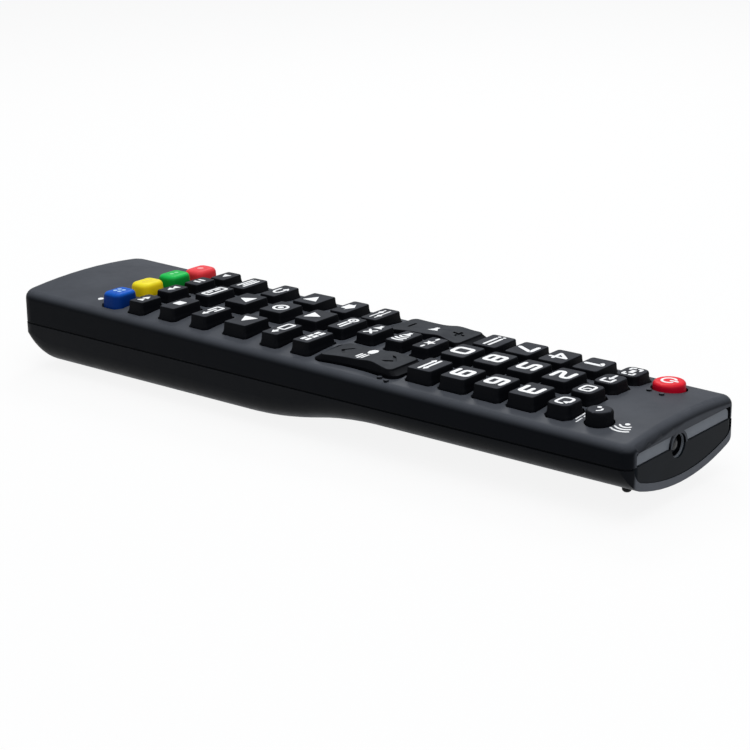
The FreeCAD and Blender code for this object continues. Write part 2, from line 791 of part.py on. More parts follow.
def belly(name, inset, end_inset=None):
    """Build the lower shell's outside, or the same form drawn in by a margin."""
    swept = new_body(name + "_sweep")
    place_back = "body_length / 2 - " + TAIL_REACH + " * ( " + inset + " )"
    section = new_sketch(swept, "XZ_Plane", place_back)
    lift = TAIL_LIFT + " * ( tail_round - ( " + inset + " ) )"
    bind(section, "AttachmentOffset.Base.y", lift)
    belly_section(section, inset)
    spine = new_sketch(swept, "YZ_Plane")
    belly_spine(spine, inset)
    sweep = swept.newObject("PartDesign::AdditivePipe", "Sweep")
    sweep.Profile = section
    sweep.Spine = spine
    sweep.Mode = "Fixed"
    keep = new_body(name + "_plan")
    plan = new_sketch(keep, "XY_Plane", "0 - belly_deep - 5")
    plan_outline(plan, inset, end_inset or inset)
    pad(keep, plan, "belly_deep + 5")
    return boolean("Common", name, swept, keep)


# Every finished sub-part, by the name of its file
NODES = {}


def node(label, thing, lifted=False):
    """Name a finished sub-part and lift it, so that the cover's flat stands at zero."""
    thing.Label = label
    if not lifted:
        bind(thing, "Placement.Base.z", LIFT)
    NODES[label] = thing
    return thing


# The keys, from the infrared end to the tail: name, kind, side, column, row

DIGIT_ROWS = [("1", "2", "3"), ("4", "5", "6"), ("7", "8", "9"), ("list", "0", "recall")]
THREE_KEY_ROWS = [
    ("row_settings", "wide", "arrow_column", ("settings", "info", "guide")),
    ("row_up", None, "arrow_column", ("menu", "up", "source_list")),
    ("row_ok", "arrow", "arrow_column", ("left", "ok", "right")),
    ("row_down", None, "arrow_column", ("back", "down", "exit")),
    ("row_stop", "wide", "arrow_column", ("text", "subtitle", "stop")),
]
MIDDLE_ROWS = [("row_page", "favourite"), ("row_rocker", "mute_far"), ("row_mute", "mute")]
FOUR_KEY_ROWS = [
    ("row_small", "small", "small_column", ("ratio", "input", "sleep", "cycle")),
    ("row_play", "play", "play_column", ("play", "pause", "forward", "rewind")),
    ("row_colour", "colour", "play_column", ("red", "green", "yellow", "blue")),
]


def all_keys():
    """List every plain key with its kind, side of the centre line, column and row."""
    keys = [("power", "power", "-1", "power_column", "row_power")]
    keys.append(("source", "source", "1", "source_column", "row_power"))
    for number, names in enumerate(DIGIT_ROWS):
        row = "row_digit - %d * digit_pitch" % number
        for name, side in zip(names, ("-1", "0", "1")):
            keys.append((name, "digit", side, "digit_column", row))
    for row, name in MIDDLE_ROWS:
        keys.append((name, "middle", "0", "digit_column", row))
    for row, kind, column, names in THREE_KEY_ROWS:
        for name, side in zip(names, ("-1", "0", "1")):
            own_kind = kind or ("arrow" if side == "0" else "wide")
            keys.append((name, own_kind, side, column, row))
    for row, kind, column, names in FOUR_KEY_ROWS:
        places = (("-1", "3 * " + column), ("-1", column), ("1", column), ("1", "3 * " + column))
        for name, (side, place_across) in zip(names, places):
            keys.append((name, kind, side, place_across, row))
    return keys


openings = []
for name, kind, side, column, row in all_keys():
    across = column if side != "0" else "0"
    rise = kind + "_rise" if kind in ("power", "source", "colour") else "key_rise"
    bevel = kind + "_bevel" if kind in ("colour", "source") else "key_bevel"
    cap, opening = key("key_" + name, kind, side, across, at_row(row), rise, bevel)
    node("key_" + name, cap, lifted=True)
    openings.append(opening)

# Bars of the sunk marks: length, turn, side of the rocker's centre line, place along it
PLUS_MINUS = [
    ("plus_long", 0, "0", "0 - mark_reach"),
    ("plus_long", 0, "0", "mark_reach"),
    ("plus_long", 90, "0", "mark_reach"),
]
ARROWS = [
    ("arrow_long", 35, "-1", "mark_reach"),
    ("arrow_long", -35, "1", "mark_reach"),
    ("arrow_long", -35, "-1", "0 - mark_reach"),
    ("arrow_long", 35, "1", "0 - mark_reach"),
]
for name, side, marks in (("volume", "-1", PLUS_MINUS), ("page", "1", ARROWS)):
    cap, opening = rocker("rocker_" + name, side, marks)
    node("rocker_" + name, cap, lifted=True)
    openings.append(opening)


# Upper shell

lid_body, lid_cut = lid_outside("lid_outside")


def crown_rim(edge):
    """Pick the edges where the crowned face meets the upright walls."""
    middle = edge.valueAt((edge.FirstParameter + edge.LastParameter) / 2)
    upright = abs(edge.tangentAt(edge.FirstParameter).z) > 0.5
    return middle.z > 1 and not upright


dress_edges(lid_body, lid_cut, "Fillet", "edge_round", crown_rim)
below_seam = box("below_seam", "body_width + 2", "body_length + 2", "face_high * 3",
                 "0", "0 - body_length / 2 - 1", "0 - face_high * 3")
band = box("band_recess", "band_width", "band_deep + 1", "band_high",
           "0", "body_length / 2 - band_deep", "0")
cutters = group("lid_cutters", [below_seam, lid_hollow("lid_room"), band] + openings)
lid_shell = boolean("Cut", "lid_shell", lid_body, cutters)

lamp_ring_width = "( lamp_width + 2 * lamp_gap + 2 * lamp_rim )"
arch_rod = rod("arch_rod", lamp_ring_width, "wall", "lamp_column", "body_length / 2 - wall", "0")
arch_side = box("arch_side", "lamp_width * 3", "wall + 2", "lamp_width",
                "lamp_column", "body_length / 2 - wall - 1", "0")
arch = boolean("Common", "lamp_arch", arch_rod, arch_side)


def touch_dot(name, across, along):
    """Make a small stud that stands proud of the key face, to be found by touch."""
    stud = doc.addObject("Part::Prism", name)
    stud.Polygon = 8
    bind(stud, "Circumradius", "dot_width / 2")
    bind(stud, "Height", "dot_high + wall / 2")
    place(stud, across, along, face_at("( " + across + " )", along) + " - wall / 2")
    return stud


# Each dot stands at an offset from the middle of the key beside it.
dots = [
    touch_dot("dot_power_back", "0 - power_column + 5.4", at_row("row_power - 2.2")),
    touch_dot("dot_power_front", "0 - power_column + 6.3", at_row("row_power + 1.8")),
    touch_dot("dot_page_inner", "arrow_column + 6.9", at_row("rocker_row + 9")),
    touch_dot("dot_page_outer", "arrow_column + 7.6", at_row("rocker_row + 11.6")),
]
lid_whole = fuse("lid_whole", [lid_shell, arch] + dots)
lamp_hole_width = "( lamp_width + 2 * lamp_gap )"
lid_lamp_hole = rod("lid_lamp_hole", lamp_hole_width, "wall + 12",
                    "lamp_column", "body_length / 2 - wall - 11", "0")
node("top_housing", boolean("Cut", "top_housing", lid_whole, lid_lamp_hole))


# Lower shell

belly_outside = belly("belly_outside", "0")

# The recess for the battery cover follows the belly, one cover and a gap deep.
cover_block = box("cover_block", "cover_width + 2 * cover_gap",
                  "cover_long + 2 * cover_gap", "belly_deep",
                  "0", COVER_BACK + " - cover_gap", "0 - belly_deep - 5")
recess_floor = belly("recess_floor", "cover_thick + cover_gap")
cover_recess = boolean("Cut", "cover_recess", cover_block, recess_floor)

# The remote lies on a narrow flat cut along the crest of the belly.
rest_cut = box("rest_cut", "body_width", "body_length", "belly_deep",
               "0", "0 - body_length / 2", "rest_flat - belly_deep * 2")

# The shadow groove just below the seam
groove = new_body("seam_groove")
groove_sketch = new_sketch(groove, "XY_Plane", "0 - groove_high")
plan_outline(groove_sketch, "-1", "-1")
groove_block = pad(groove, groove_sketch, "groove_high + 1")
groove_keep = new_body("seam_keep")
keep_sketch = new_sketch(groove_keep, "XY_Plane", "0 - groove_high - 1")
plan_outline(keep_sketch, "groove_deep", "groove_deep")
pad(groove_keep, keep_sketch, "groove_high + 3")
seam_ring = boolean("Cut", "seam_ring", groove, groove_keep)

# The pocket for the infrared window, with a seat left behind it
seat_deep = "window_inset + window_thick"
window_pocket_form = belly("window_pocket_form", "window_rim", "0 - 1")
window_zone = box("window_zone", "body_width", seat_deep + " + 3", "belly_deep * 2",
                  "0", "body_length / 2 - ( " + seat_deep + " )", "0 - belly_deep * 2 - window_gap")
window_pocket = boolean("Common", "window_pocket", window_pocket_form, window_zone)
lamp_hole = rod("belly_lamp_hole", lamp_hole_width, "wall + 12",
                "lamp_column", "body_length / 2 - wall - 11", "0")


def foot_column(name, width, length, low):
    """Make an upright pin at each front corner."""
    pins = []
    for side, place_across in (("left", "0 - foot_column"), ("right", "foot_column")):
        pin = doc.addObject("Part::Prism", name + "_" + side)
        pin.Polygon = 12
        bind(pin, "Circumradius", "( " + width + " ) / 2")
        bind(pin, "Height", length)
        place(pin, place_across, FOOT_ROW, low)
        pins.append(pin)
    return pins


foot_level = "( 0 - front_deep + foot_column ^ 2 / ( 2 * belly_radius ) )"
foot_holes = foot_column("foot_hole", "foot_width", "wall + 3", foot_level + " - 2")

# The battery bay, open to the cover, and the slots that the cover's tongues tilt in
bay_space = box("bay_space", "bay_width", "bay_long", "belly_deep",
                "0", BAY_BACK, "0 - belly_deep - roof_thick")
tongue_low = "( tongue_rise - belly_deep )"
tongue_slots = []
slot_long = BAY_BACK + " - " + COVER_BACK + " + tongue_reach + cover_gap + 0.5"
slot_start = COVER_BACK + " - tongue_reach - cover_gap"
for name, side in (("near", "1"), ("far", "-1")):
    tongue_slots.append(box("tongue_slot_" + name, "tongue_width + 2 * cover_gap", slot_long,
                            "tongue_thick + tongue_room + 2 * cover_gap",
                            side + " * tongue_column", slot_start, tongue_low + " - cover_gap"))

# Pockets that leave ribs under the board: a wide shelf above a narrower, deeper floor
pockets = []
RIB_ROWS = [at_row(row) for row in
            ("step_start - 4", "step_end - 12", "chip_row - 22", "chip_row + 9")]
POCKET_ENDS = RIB_ROWS[1:] + ["body_length / 2 - end_wall"]
for number, (back, front) in enumerate(zip(RIB_ROWS, POCKET_ENDS)):
    start = "( " + back + " + rib_thick )"
    long = "( " + front + " - " + start + " )"
    pockets.append(box("shelf_%d" % number, "body_width - 2 * wall", long, "shelf_deep + 1",
                       "0", start, "0 - shelf_deep"))
    pockets.append(box("pocket_%d" % number, "pocket_width", long, "pocket_deep + 1",
                       "0", start, "0 - pocket_deep"))
side_inner = "( bay_width / 2 + bay_wall )"
side_width = "( body_width / 2 - wall - " + side_inner + " )"
side_long = "( " + RIB_ROWS[0] + " - " + BAY_BACK + " )"
for name, side in (("near", "1"), ("far", "-1")):
    pockets.append(box("side_pocket_" + name, side_width, side_long, "side_deep + 1",
                       side + " * ( " + side_inner + " + " + side_width + " / 2 )",
                       BAY_BACK, "0 - side_deep"))

cutters = [cover_recess, rest_cut, seam_ring, window_pocket, lamp_hole, bay_space] + tongue_slots
belly_cutters = group("belly_cutters", cutters + foot_holes + pockets)
node("bottom_housing", boolean("Cut", "bottom_housing", belly_outside, belly_cutters))


# Infrared window and lamp

window_form = belly("window_form", "window_rim + window_gap", "window_inset")
window_slab = box("window_slab", "body_width", "window_thick - window_gap", "belly_deep * 2",
                  "0", "body_length / 2 - window_inset - window_thick + window_gap",
                  "0 - belly_deep * 2 - window_gap")
window_solid = boolean("Common", "window_solid", window_form, window_slab)
window_hole = rod("window_hole", lamp_hole_width, "wall + 12",
                  "lamp_column", "body_length / 2 - wall - 11", "0")
node("ir_window", boolean("Cut", "ir_window", window_solid, window_hole))

lamp = new_body("lamp")
lamp_can = disc(lamp, "lamp_width", "0", "lamp_long")
dress_edges(lamp, lamp_can, "Chamfer", "lamp_width * 0.24", top_edges("lamp_long"))
lamp.Placement = Placement(Vector(), Rotation(Vector(-1, 0, 0), 90))
lamp_start = "( body_length / 2 - lamp_back - lamp_long )"
place(lamp, "lamp_column", lamp_start, "0")
leads = []
for side in ("-1", "1"):
    leads.append(box("lamp_lead_" + ("near" if side == "1" else "far"), "lead_width",
                     lamp_start + " - " + BOARD_FRONT + " + lead_lap + lead_sunk", "lead_width",
                     "lamp_column + " + side + " * lead_pitch / 2", BOARD_FRONT + " - lead_lap",
                     "0 - lead_width"))
node("ir_lamp", fuse("ir_lamp", [lamp] + leads))

feet = foot_column("foot", "foot_width", "wall + foot_stand + foot_sunk",
                   foot_level + " - foot_stand")
node("front_feet", group("front_feet", feet))


# Circuit board, rubber mat and the parts under the board

def sheet_plate(name, thick, low, shrink):
    """Make a flat plate that fits inside both shells."""
    plate = new_body(name)
    sketch = new_sketch(plate, "XY_Plane")
    wide = "( body_width - 2 * wall - 2 * ( " + shrink + " ) )"
    long = BOARD_FRONT + " - " + BOARD_BACK + " - 2 * ( " + shrink + " ) + 2 * board_gap"
    rectangle(sketch, wide, "( " + long + " )")
    pad(plate, sketch, thick)
    place(plate, "0", "( " + BOARD_FRONT + " + " + BOARD_BACK + " ) / 2", low + " + " + LIFT)
    return plate


board = sheet_plate("board", "board_thick", "0", "board_gap")
node("circuit_board", board, lifted=True)
mat = sheet_plate("mat", "mat_thick", "board_thick", "board_gap + mat_inset")
node("keypad_mat", mat, lifted=True)

chip_body = box("chip_body", "chip_width", "chip_long", "chip_high - chip_foot",
                "0", at_row("chip_row - chip_long / 2"), "0 - chip_high")
legs = []
for number in range(int(size("leg_count"))):
    row = "chip_row + ( %d - ( leg_count - 1 ) / 2 ) * leg_pitch - leg_width / 2" % number
    legs.append(box("chip_leg_%d" % number, "chip_width + 2 * leg_reach", "leg_width",
                    "chip_high / 2", "0", at_row(row), "0 - chip_high / 2"))
node("controller_chip", fuse("controller_chip", [chip_body] + legs))

can_start = at_row("can_row - can_long / 2")
can = rod("can", "can_width", "can_long", "can_column", can_start, "0 - can_width / 2 - can_drop")
can_pins = [
    box("can_pin_%d" % number, "can_pin_width", "can_pin_reach + can_pin_sunk", "can_width / 2",
        "can_column + " + side + " * can_pin_pitch / 2", can_start + " - can_pin_reach",
        "0 - can_width / 2")
    for number, side in enumerate(("-1", "1"))
]
node("capacitor", fuse("capacitor", [can] + can_pins))


# Cells and their contacts

crown_gap = "( cell_pitch / 2 ) ^ 2 / ( 2 * belly_radius )"
cell_level = "( cover_thick + cell_gap + cell_width / 2 + " + crown_gap + " - belly_deep )"
spring_room = "( bay_long - 2 * contact_thick - cell_long - cell_nub_long )"
LEAF_BOW = "( " + spring_room + " - spring_gap )"
LEAF_RADIUS = "( ( spring_high ^ 2 / 4 + " + LEAF_BOW + " ^ 2 ) / ( 2 * " + LEAF_BOW + " ) )"


def leaf_spring(name, turned, across, along):
    """Bend a contact strip into a bow whose two ends stand on the contact plate."""
    body = new_body(name)
    sketch = new_sketch(body, "YZ_Plane")
    radius = worked_out(LEAF_RADIUS)
    centre = worked_out(LEAF_BOW) - radius
    curves = []
    for bend in (radius, radius - size("spring_strip")):
        reach = math.degrees(math.acos(-centre / bend))
        curves.append(arc(sketch, (centre, 0), bend, -reach, reach))
        sketch.addConstraint(Sketcher.Constraint("PointOnObject", curves[-1], 1, -2))
        sketch.addConstraint(Sketcher.Constraint("PointOnObject", curves[-1], 2, -2))
    outer, inner = curves
    sketch.addConstraint(Sketcher.Constraint("PointOnObject", outer, 3, -1))
    join(sketch, "Coincident", outer, 3, inner, 3)
    for end in (1, 2):
        heights = []
        for bend in (radius, radius - size("spring_strip")):
            height = math.sqrt(bend ** 2 - centre ** 2)
            heights.append(-height if end == 1 else height)
        edge = line(sketch, (0, heights[0]), (0, heights[1]))
        join(sketch, "Coincident", edge, 1, outer, end)
        join(sketch, "Coincident", edge, 2, inner, end)
    dimension(sketch, "bow", LEAF_RADIUS, "Radius", outer)
    dimension(sketch, "inner_bow", LEAF_RADIUS + " - spring_strip", "Radius", inner)
    centre_from = LEAF_RADIUS + " - " + LEAF_BOW
    dimension(sketch, "centre", centre_from, "DistanceX", outer, 3, -1, 1)
    strip = pad(body, sketch, "spring_width")
    strip.SideType = "Symmetric"
    body.Placement = Placement(Vector(), Rotation(Vector(0, 0, 1), 180 if turned else 0))
    place(body, across, along, cell_level)
    return body


springs = []
plates = []
for name, side, turned in (("left", "-1", False), ("right", "1", True)):
    across = side + " * cell_pitch / 2"
    bay_start = BAY_BACK + " + contact_thick"
    cell_start = bay_start + " + " + ("cell_nub_long" if turned else spring_room)
    nub_start = bay_start if turned else cell_start + " + cell_long"
    can_part = rod("cell_can_" + name, "cell_width", "cell_long", across, cell_start, cell_level)
    nub = rod("cell_nub_" + name, "cell_nub_width", "cell_nub_long", across, nub_start, cell_level)
    node("battery_" + name, fuse("battery_" + name, [can_part, nub]))
    spring_start = BAY_BACK + " + bay_long - contact_thick" if turned else bay_start
    springs.append(leaf_spring("spring_" + name, turned, across, spring_start))
    plates.append(box("plate_back_" + name, "contact_width", "contact_thick", "contact_width",
                      across, BAY_BACK, cell_level + " - contact_width / 2"))
plates.append(box("plate_front", "cell_pitch + contact_width", "contact_thick", "contact_width",
                  "0", BAY_BACK + " + bay_long - contact_thick",
                  cell_level + " - contact_width / 2"))
node("battery_springs", group("battery_springs", springs))
node("contact_plates", group("contact_plates", plates))


# Battery cover

cover_shell = boolean("Cut", "cover_shell", belly_outside, belly("cover_hollow", "cover_thick"))
cover_zone = box("cover_zone", "cover_width", "cover_long", "belly_deep",
                 "0", COVER_BACK, "0 - belly_deep - 5")
cover_panel = boolean("Common", "cover_panel", cover_shell, cover_zone)
tongues = []
for name, side in (("near", "1"), ("far", "-1")):
    tongue_long = "tongue_reach + " + BAY_BACK + " - " + COVER_BACK
    tongues.append(box("tongue_" + name, "tongue_width", tongue_long, "tongue_thick",
                       side + " * tongue_column", COVER_BACK + " - tongue_reach", tongue_low))
cover_whole = fuse("cover_whole", [cover_panel] + tongues)
grips = [rest_cut]
for number in range(int(size("grip_count"))):
    row = COVER_FRONT + " - grip_start - %d * grip_pitch" % number
    grips.append(box("grip_%d" % number, "grip_width", "grip_pitch * 0.45", "grip_deep * 2",
                     "0", row, "rest_flat - belly_deep - grip_deep"))
node("battery_cover", boolean("Cut", "battery_cover", cover_whole, group("grips", grips)))


# Check the model and write one file per sub-part

doc.recompute()
os.makedirs("parts", exist_ok=True)
for item in doc.Objects:
    if "Invalid" in item.State or "Error" in item.State:
        parents = [parent.Label for parent in item.InList]
        raise RuntimeError("%s could not be built, in %s" % (item.Label, parents))
for label, thing in NODES.items():
    if thing.Shape.isNull() or not thing.Shape.isValid():
        raise RuntimeError("%s has no valid shape" % label)
    thing.Shape.exportStep("parts/" + label + ".step")
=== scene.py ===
import json
import math
from collections import namedtuple

import bmesh
import bpy
from mathutils import Matrix, Vector


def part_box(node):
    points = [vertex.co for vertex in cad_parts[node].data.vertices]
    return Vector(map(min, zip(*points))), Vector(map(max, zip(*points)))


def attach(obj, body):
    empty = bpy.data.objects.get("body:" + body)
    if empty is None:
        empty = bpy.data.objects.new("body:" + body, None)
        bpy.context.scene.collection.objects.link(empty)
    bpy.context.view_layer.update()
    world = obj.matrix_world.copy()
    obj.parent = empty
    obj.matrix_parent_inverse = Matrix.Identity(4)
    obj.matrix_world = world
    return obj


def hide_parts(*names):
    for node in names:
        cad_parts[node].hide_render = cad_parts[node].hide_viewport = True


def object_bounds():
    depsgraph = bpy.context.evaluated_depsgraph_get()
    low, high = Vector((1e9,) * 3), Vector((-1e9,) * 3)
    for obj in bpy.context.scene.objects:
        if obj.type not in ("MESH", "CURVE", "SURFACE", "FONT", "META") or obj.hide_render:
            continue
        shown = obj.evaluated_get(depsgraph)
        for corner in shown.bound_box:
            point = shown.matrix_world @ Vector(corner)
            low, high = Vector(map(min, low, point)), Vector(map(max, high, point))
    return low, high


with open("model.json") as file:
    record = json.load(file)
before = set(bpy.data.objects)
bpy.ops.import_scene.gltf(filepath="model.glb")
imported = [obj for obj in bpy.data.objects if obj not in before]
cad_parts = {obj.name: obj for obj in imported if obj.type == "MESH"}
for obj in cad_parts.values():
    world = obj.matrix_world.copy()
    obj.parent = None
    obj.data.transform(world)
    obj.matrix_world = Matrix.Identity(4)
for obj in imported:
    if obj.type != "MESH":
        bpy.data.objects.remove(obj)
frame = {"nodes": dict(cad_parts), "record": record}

CAD_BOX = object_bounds()
MM = 0.001

# Sizes in millimetres, as in the CAD source. LIFT is the seam's height above the floor.
LIFT = 13.2
FACE_HIGH = 8.3
FACE_SLOPE = 0.0172
CROWN_RADIUS = 170.0
FACE_THICK = 2.6
STOP_GAP = 0.3
KEY_DRAFT = math.tan(math.radians(4.0))

scene = bpy.context.scene
scene.view_settings.view_transform = "Standard"


def face_height(x, y):
    """Height of the crowned and sloping key face."""
    return LIFT + FACE_HIGH - FACE_SLOPE * y - x * x / (2 * CROWN_RADIUS)


# Materials

# The range that Blender's noise seldom leaves, and the narrower one that colours drift over
NOISE_LOW, NOISE_HIGH = 0.3, 0.7
DRIFT_LOW, DRIFT_HIGH = 0.35, 0.65
ROUGH_DRIFT = 0.04
BUMP_STRENGTH = 0.5
BEVEL_SAMPLES = 4
# Share of the painted light that a surface turned down gets, against one turned up
DOWNWARD_SHARE = 0.8


def new_material(name):
    made = bpy.data.materials.new(name)
    made.use_nodes = True
    nodes = made.node_tree.nodes
    nodes.clear()
    shader = nodes.new("ShaderNodeBsdfPrincipled")
    output = nodes.new("ShaderNodeOutputMaterial")
    made.node_tree.links.new(shader.outputs["BSDF"], output.inputs["Surface"])
    return made, shader


def noise(made, size, detail=3.0):
    """Noise in object space, with features about this many millimetres across."""
    nodes, links = made.node_tree.nodes, made.node_tree.links
    place = nodes.new("ShaderNodeTexCoord")
    texture = nodes.new("ShaderNodeTexNoise")
    texture.inputs["Scale"].default_value = 1 / (size * MM)
    texture.inputs["Detail"].default_value = detail
    links.new(place.outputs["Object"], texture.inputs["Vector"])
    return texture.outputs["Fac"]


def ramp(made, value, low, high, first, last):
    """Colours from first to last as the value goes from low to high."""
    nodes, links = made.node_tree.nodes, made.node_tree.links
    made_ramp = nodes.new("ShaderNodeValToRGB")
    made_ramp.color_ramp.elements[0].position = low
    made_ramp.color_ramp.elements[1].position = high
    made_ramp.color_ramp.elements[0].color = (*first, 1)
    made_ramp.color_ramp.elements[1].color = (*last, 1)
    links.new(value, made_ramp.inputs["Fac"])
    return made_ramp.outputs["Color"]


def spread(made, value, low, high):
    """The noise's usual range, mapped to low and high."""
    nodes, links = made.node_tree.nodes, made.node_tree.links
    scaled = nodes.new("ShaderNodeMapRange")
    scaled.inputs["From Min"].default_value = NOISE_LOW
    scaled.inputs["From Max"].default_value = NOISE_HIGH
    scaled.inputs["To Min"].default_value = low
    scaled.inputs["To Max"].default_value = high
    links.new(value, scaled.inputs["Value"])
    return scaled.outputs["Result"]


def compute(made, operation, first, second):
    """Result of a Math node, whose two inputs are sockets or plain numbers."""
    node = made.node_tree.nodes.new("ShaderNodeMath")
    node.operation = operation
    for place, value in zip(node.inputs, (first, second)):
        if isinstance(value, (int, float)):
            place.default_value = value
        else:
            made.node_tree.links.new(value, place)
    return node.outputs[0]


def painted_light_mask(made, low, high, along=None, upward=True):
    """Mask of painted light, from 0 on upright walls, which keep the painted shade, to 1 where the
    surface faces up, as a painted sheen, or down if not upward, as a painted reflection of the
    floor.

    Where along is set, a surface that faces the infrared end counts too, raised to that power,
    so that only the end itself gets the painted light and not the round corners beside it.
    """
    nodes, links = made.node_tree.nodes, made.node_tree.links
    place = nodes.new("ShaderNodeTexCoord")
    parts = nodes.new("ShaderNodeSeparateXYZ")
    links.new(place.outputs["Normal"], parts.inputs["Vector"])
    value = parts.outputs["Z"]
    if not upward:
        value = compute(made, "MULTIPLY", value, -DOWNWARD_SHARE)
    if along:
        to_the_end = compute(made, "MAXIMUM", parts.outputs["Y"], 0.0)
        value = compute(made, "MAXIMUM", value, compute(made, "POWER", to_the_end, along))
    stretched = nodes.new("ShaderNodeMapRange")
    stretched.interpolation_type = "SMOOTHSTEP"
    stretched.inputs["From Min"].default_value = low
    stretched.inputs["From Max"].default_value = high
    links.new(value, stretched.inputs["Value"])
    return stretched.outputs["Result"]


def moulded(name, colour, rough, specular, grain=0.25, depth=0.02, change=0.12, blotch=9.0,
            bevel=0.0, painted_wall_shade=None, turn=(0.7, 0.97), along=None, upward=True):
    """Moulded plastic or rubber: a fine grain, and a slow drift of colour and gloss.

    Grain, its depth, blotch and bevel are in millimetres. A colour for the upright sides paints
    shade on them, darker than the top, whose lighter colour is a painted sheen where light falls.
    """
    made, shader = new_material(name)
    nodes, links = made.node_tree.nodes, made.node_tree.links
    darker = [c * (1 - change) for c in colour]
    lighter = [min(1, c * (1 + change)) for c in colour]
    tone = ramp(made, noise(made, blotch), DRIFT_LOW, DRIFT_HIGH, darker, lighter)
    # Painted shade and light: upright sides take the darker colour, the rest keeps the lighter one
    # as painted sheen
    if painted_wall_shade:
        both = nodes.new("ShaderNodeMix")
        both.data_type = "RGBA"
        both.inputs["A"].default_value = (*painted_wall_shade, 1)
        links.new(painted_light_mask(made, *turn, along, upward), both.inputs["Factor"])
        links.new(tone, both.inputs["B"])
        tone = both.outputs["Result"]
    links.new(tone, shader.inputs["Base Color"])
    gloss = spread(made, noise(made, blotch / 3), rough - ROUGH_DRIFT, rough + ROUGH_DRIFT)
    links.new(gloss, shader.inputs["Roughness"])
    bump = nodes.new("ShaderNodeBump")
    bump.inputs["Strength"].default_value = BUMP_STRENGTH
    bump.inputs["Distance"].default_value = depth * MM
    links.new(noise(made, grain), bump.inputs["Height"])
    if bevel:
        soft = nodes.new("ShaderNodeBevel")
        soft.samples = BEVEL_SAMPLES
        soft.inputs["Radius"].default_value = bevel * MM
        links.new(soft.outputs["Normal"], bump.inputs["Normal"])
    links.new(bump.outputs["Normal"], shader.inputs["Normal"])
    shader.inputs["Specular IOR Level"].default_value = specular
    return made


def coloured(name, colour, painted_wall_shade, rough=0.45, specular=0.1):
    """Rubber of a coloured key, deeper in tone on its sides by painted shade."""
    return moulded(name, colour, rough, specular, grain=0.3, depth=0.01, painted_wall_shade=painted_wall_shade, turn=(0.2, 0.9))


def ink(name, colour, change=0.03):
    return moulded(name, colour, 0.5, 0.3, grain=0.3, depth=0.004, change=change)


def metal(name, colour, rough):
    """Plated metal with fine streaks of tone and uneven gloss."""
    streak, patch = 0.4, 3.0
    made, shader = new_material(name)
    links = made.node_tree.links
    darker = [c * 0.85 for c in colour]
    tone = ramp(made, noise(made, streak), NOISE_LOW, NOISE_HIGH, darker, colour)
    links.new(tone, shader.inputs["Base Color"])
    gloss = spread(made, noise(made, patch), rough - 0.05, rough + 0.08)
    links.new(gloss, shader.inputs["Roughness"])
    shader.inputs["Metallic"].default_value = 1.0
    return made


def resin(name, colour, rough, transmission=0.15, specular=0.25):
    """Dark moulded resin, slightly uneven, that lets a little light through."""
    patch, ripple = 2.0, 1.0
    made, shader = new_material(name)
    links = made.node_tree.links
    darker = [c * 0.9 for c in colour]
    tone = ramp(made, noise(made, patch), NOISE_LOW, NOISE_HIGH, darker, colour)
    links.new(tone, shader.inputs["Base Color"])
    links.new(spread(made, noise(made, ripple), rough, rough + 0.03), shader.inputs["Roughness"])
    shader.inputs["Transmission Weight"].default_value = transmission
    shader.inputs["Specular IOR Level"].default_value = specular
    shader.inputs["IOR"].default_value = 1.5
    return made


# Colours of painted shade for upright sides, darker than the tops, which keep a painted sheen
SHELL_PAINTED_SHADE = (0.004, 0.005, 0.007)
RUBBER_PAINTED_SHADE = (0.0025, 0.003, 0.0045)
MATERIALS = {
    # Shell: its face and its infrared end keep the lighter colour as painted light
    "upper_shell": moulded("shell_plastic", (0.070, 0.076, 0.089), 0.42, 0.035, change=0.06,
                           bevel=0.2, painted_wall_shade=SHELL_PAINTED_SHADE, turn=(0.1, 0.95), along=14.0),
    # Back: faces turned down and the infrared end keep the lighter colour, as painted reflection of
    # the floor and painted light
    "lower_shell": moulded("back_plastic", (0.120, 0.130, 0.150), 0.42, 0.06, change=0.06,
                           bevel=0.15, painted_wall_shade=SHELL_PAINTED_SHADE, turn=(0.4, 0.92), along=10.0, upward=False),
    "window": moulded("window_plastic", (0.009, 0.012, 0.016), 0.16, 0.03, grain=2.0, depth=0.004),
    "lamp": resin("lamp_resin", (0.02, 0.022, 0.026), 0.05),
    "rubber": moulded("foot_rubber", (0.008, 0.008, 0.009), 0.7, 0.2),
    "board": moulded("board_lacquer", (0.03, 0.16, 0.05), 0.35, 0.5, blotch=4.0),
    "mat": moulded("mat_silicone", (0.06, 0.06, 0.065), 0.7, 0.2),
    "component": moulded("component_resin", (0.02, 0.02, 0.02), 0.55, 0.4),
    "cell": moulded("cell_sleeve", (0.05, 0.055, 0.07), 0.35, 0.5, grain=1.0, depth=0.006),
    "contact": metal("contact_plating", (0.62, 0.61, 0.57), 0.3),
    # Keys and rockers: painted shade on their sides, painted sheen on their tops
    "key": moulded("key_rubber", (0.030, 0.033, 0.041), 0.55, 0.06, grain=0.18,
                   painted_wall_shade=RUBBER_PAINTED_SHADE, turn=(0.75, 0.98)),
    "rocker": moulded("rocker_rubber", (0.033, 0.037, 0.044), 0.58, 0.06, grain=0.18,
                      painted_wall_shade=RUBBER_PAINTED_SHADE, turn=(0.85, 0.985)),
    # Coloured keys: the second colour is painted shade on their sides
    "power_red": coloured("power_rubber", (0.84, 0.020, 0.035), (0.56, 0.002, 0.020), 0.42),
    "key_red": coloured("red_rubber", (0.94, 0.07, 0.085), (0.78, 0.035, 0.045)),
    "key_green": coloured("green_rubber", (0.008, 0.50, 0.080), (0.002, 0.27, 0.030)),
    "key_yellow": coloured("yellow_rubber", (0.95, 0.78, 0.025), (0.90, 0.66, 0.006)),
    "key_blue": coloured("blue_rubber", (0.004, 0.11, 0.58), (0.001, 0.030, 0.19), specular=0.08),
}
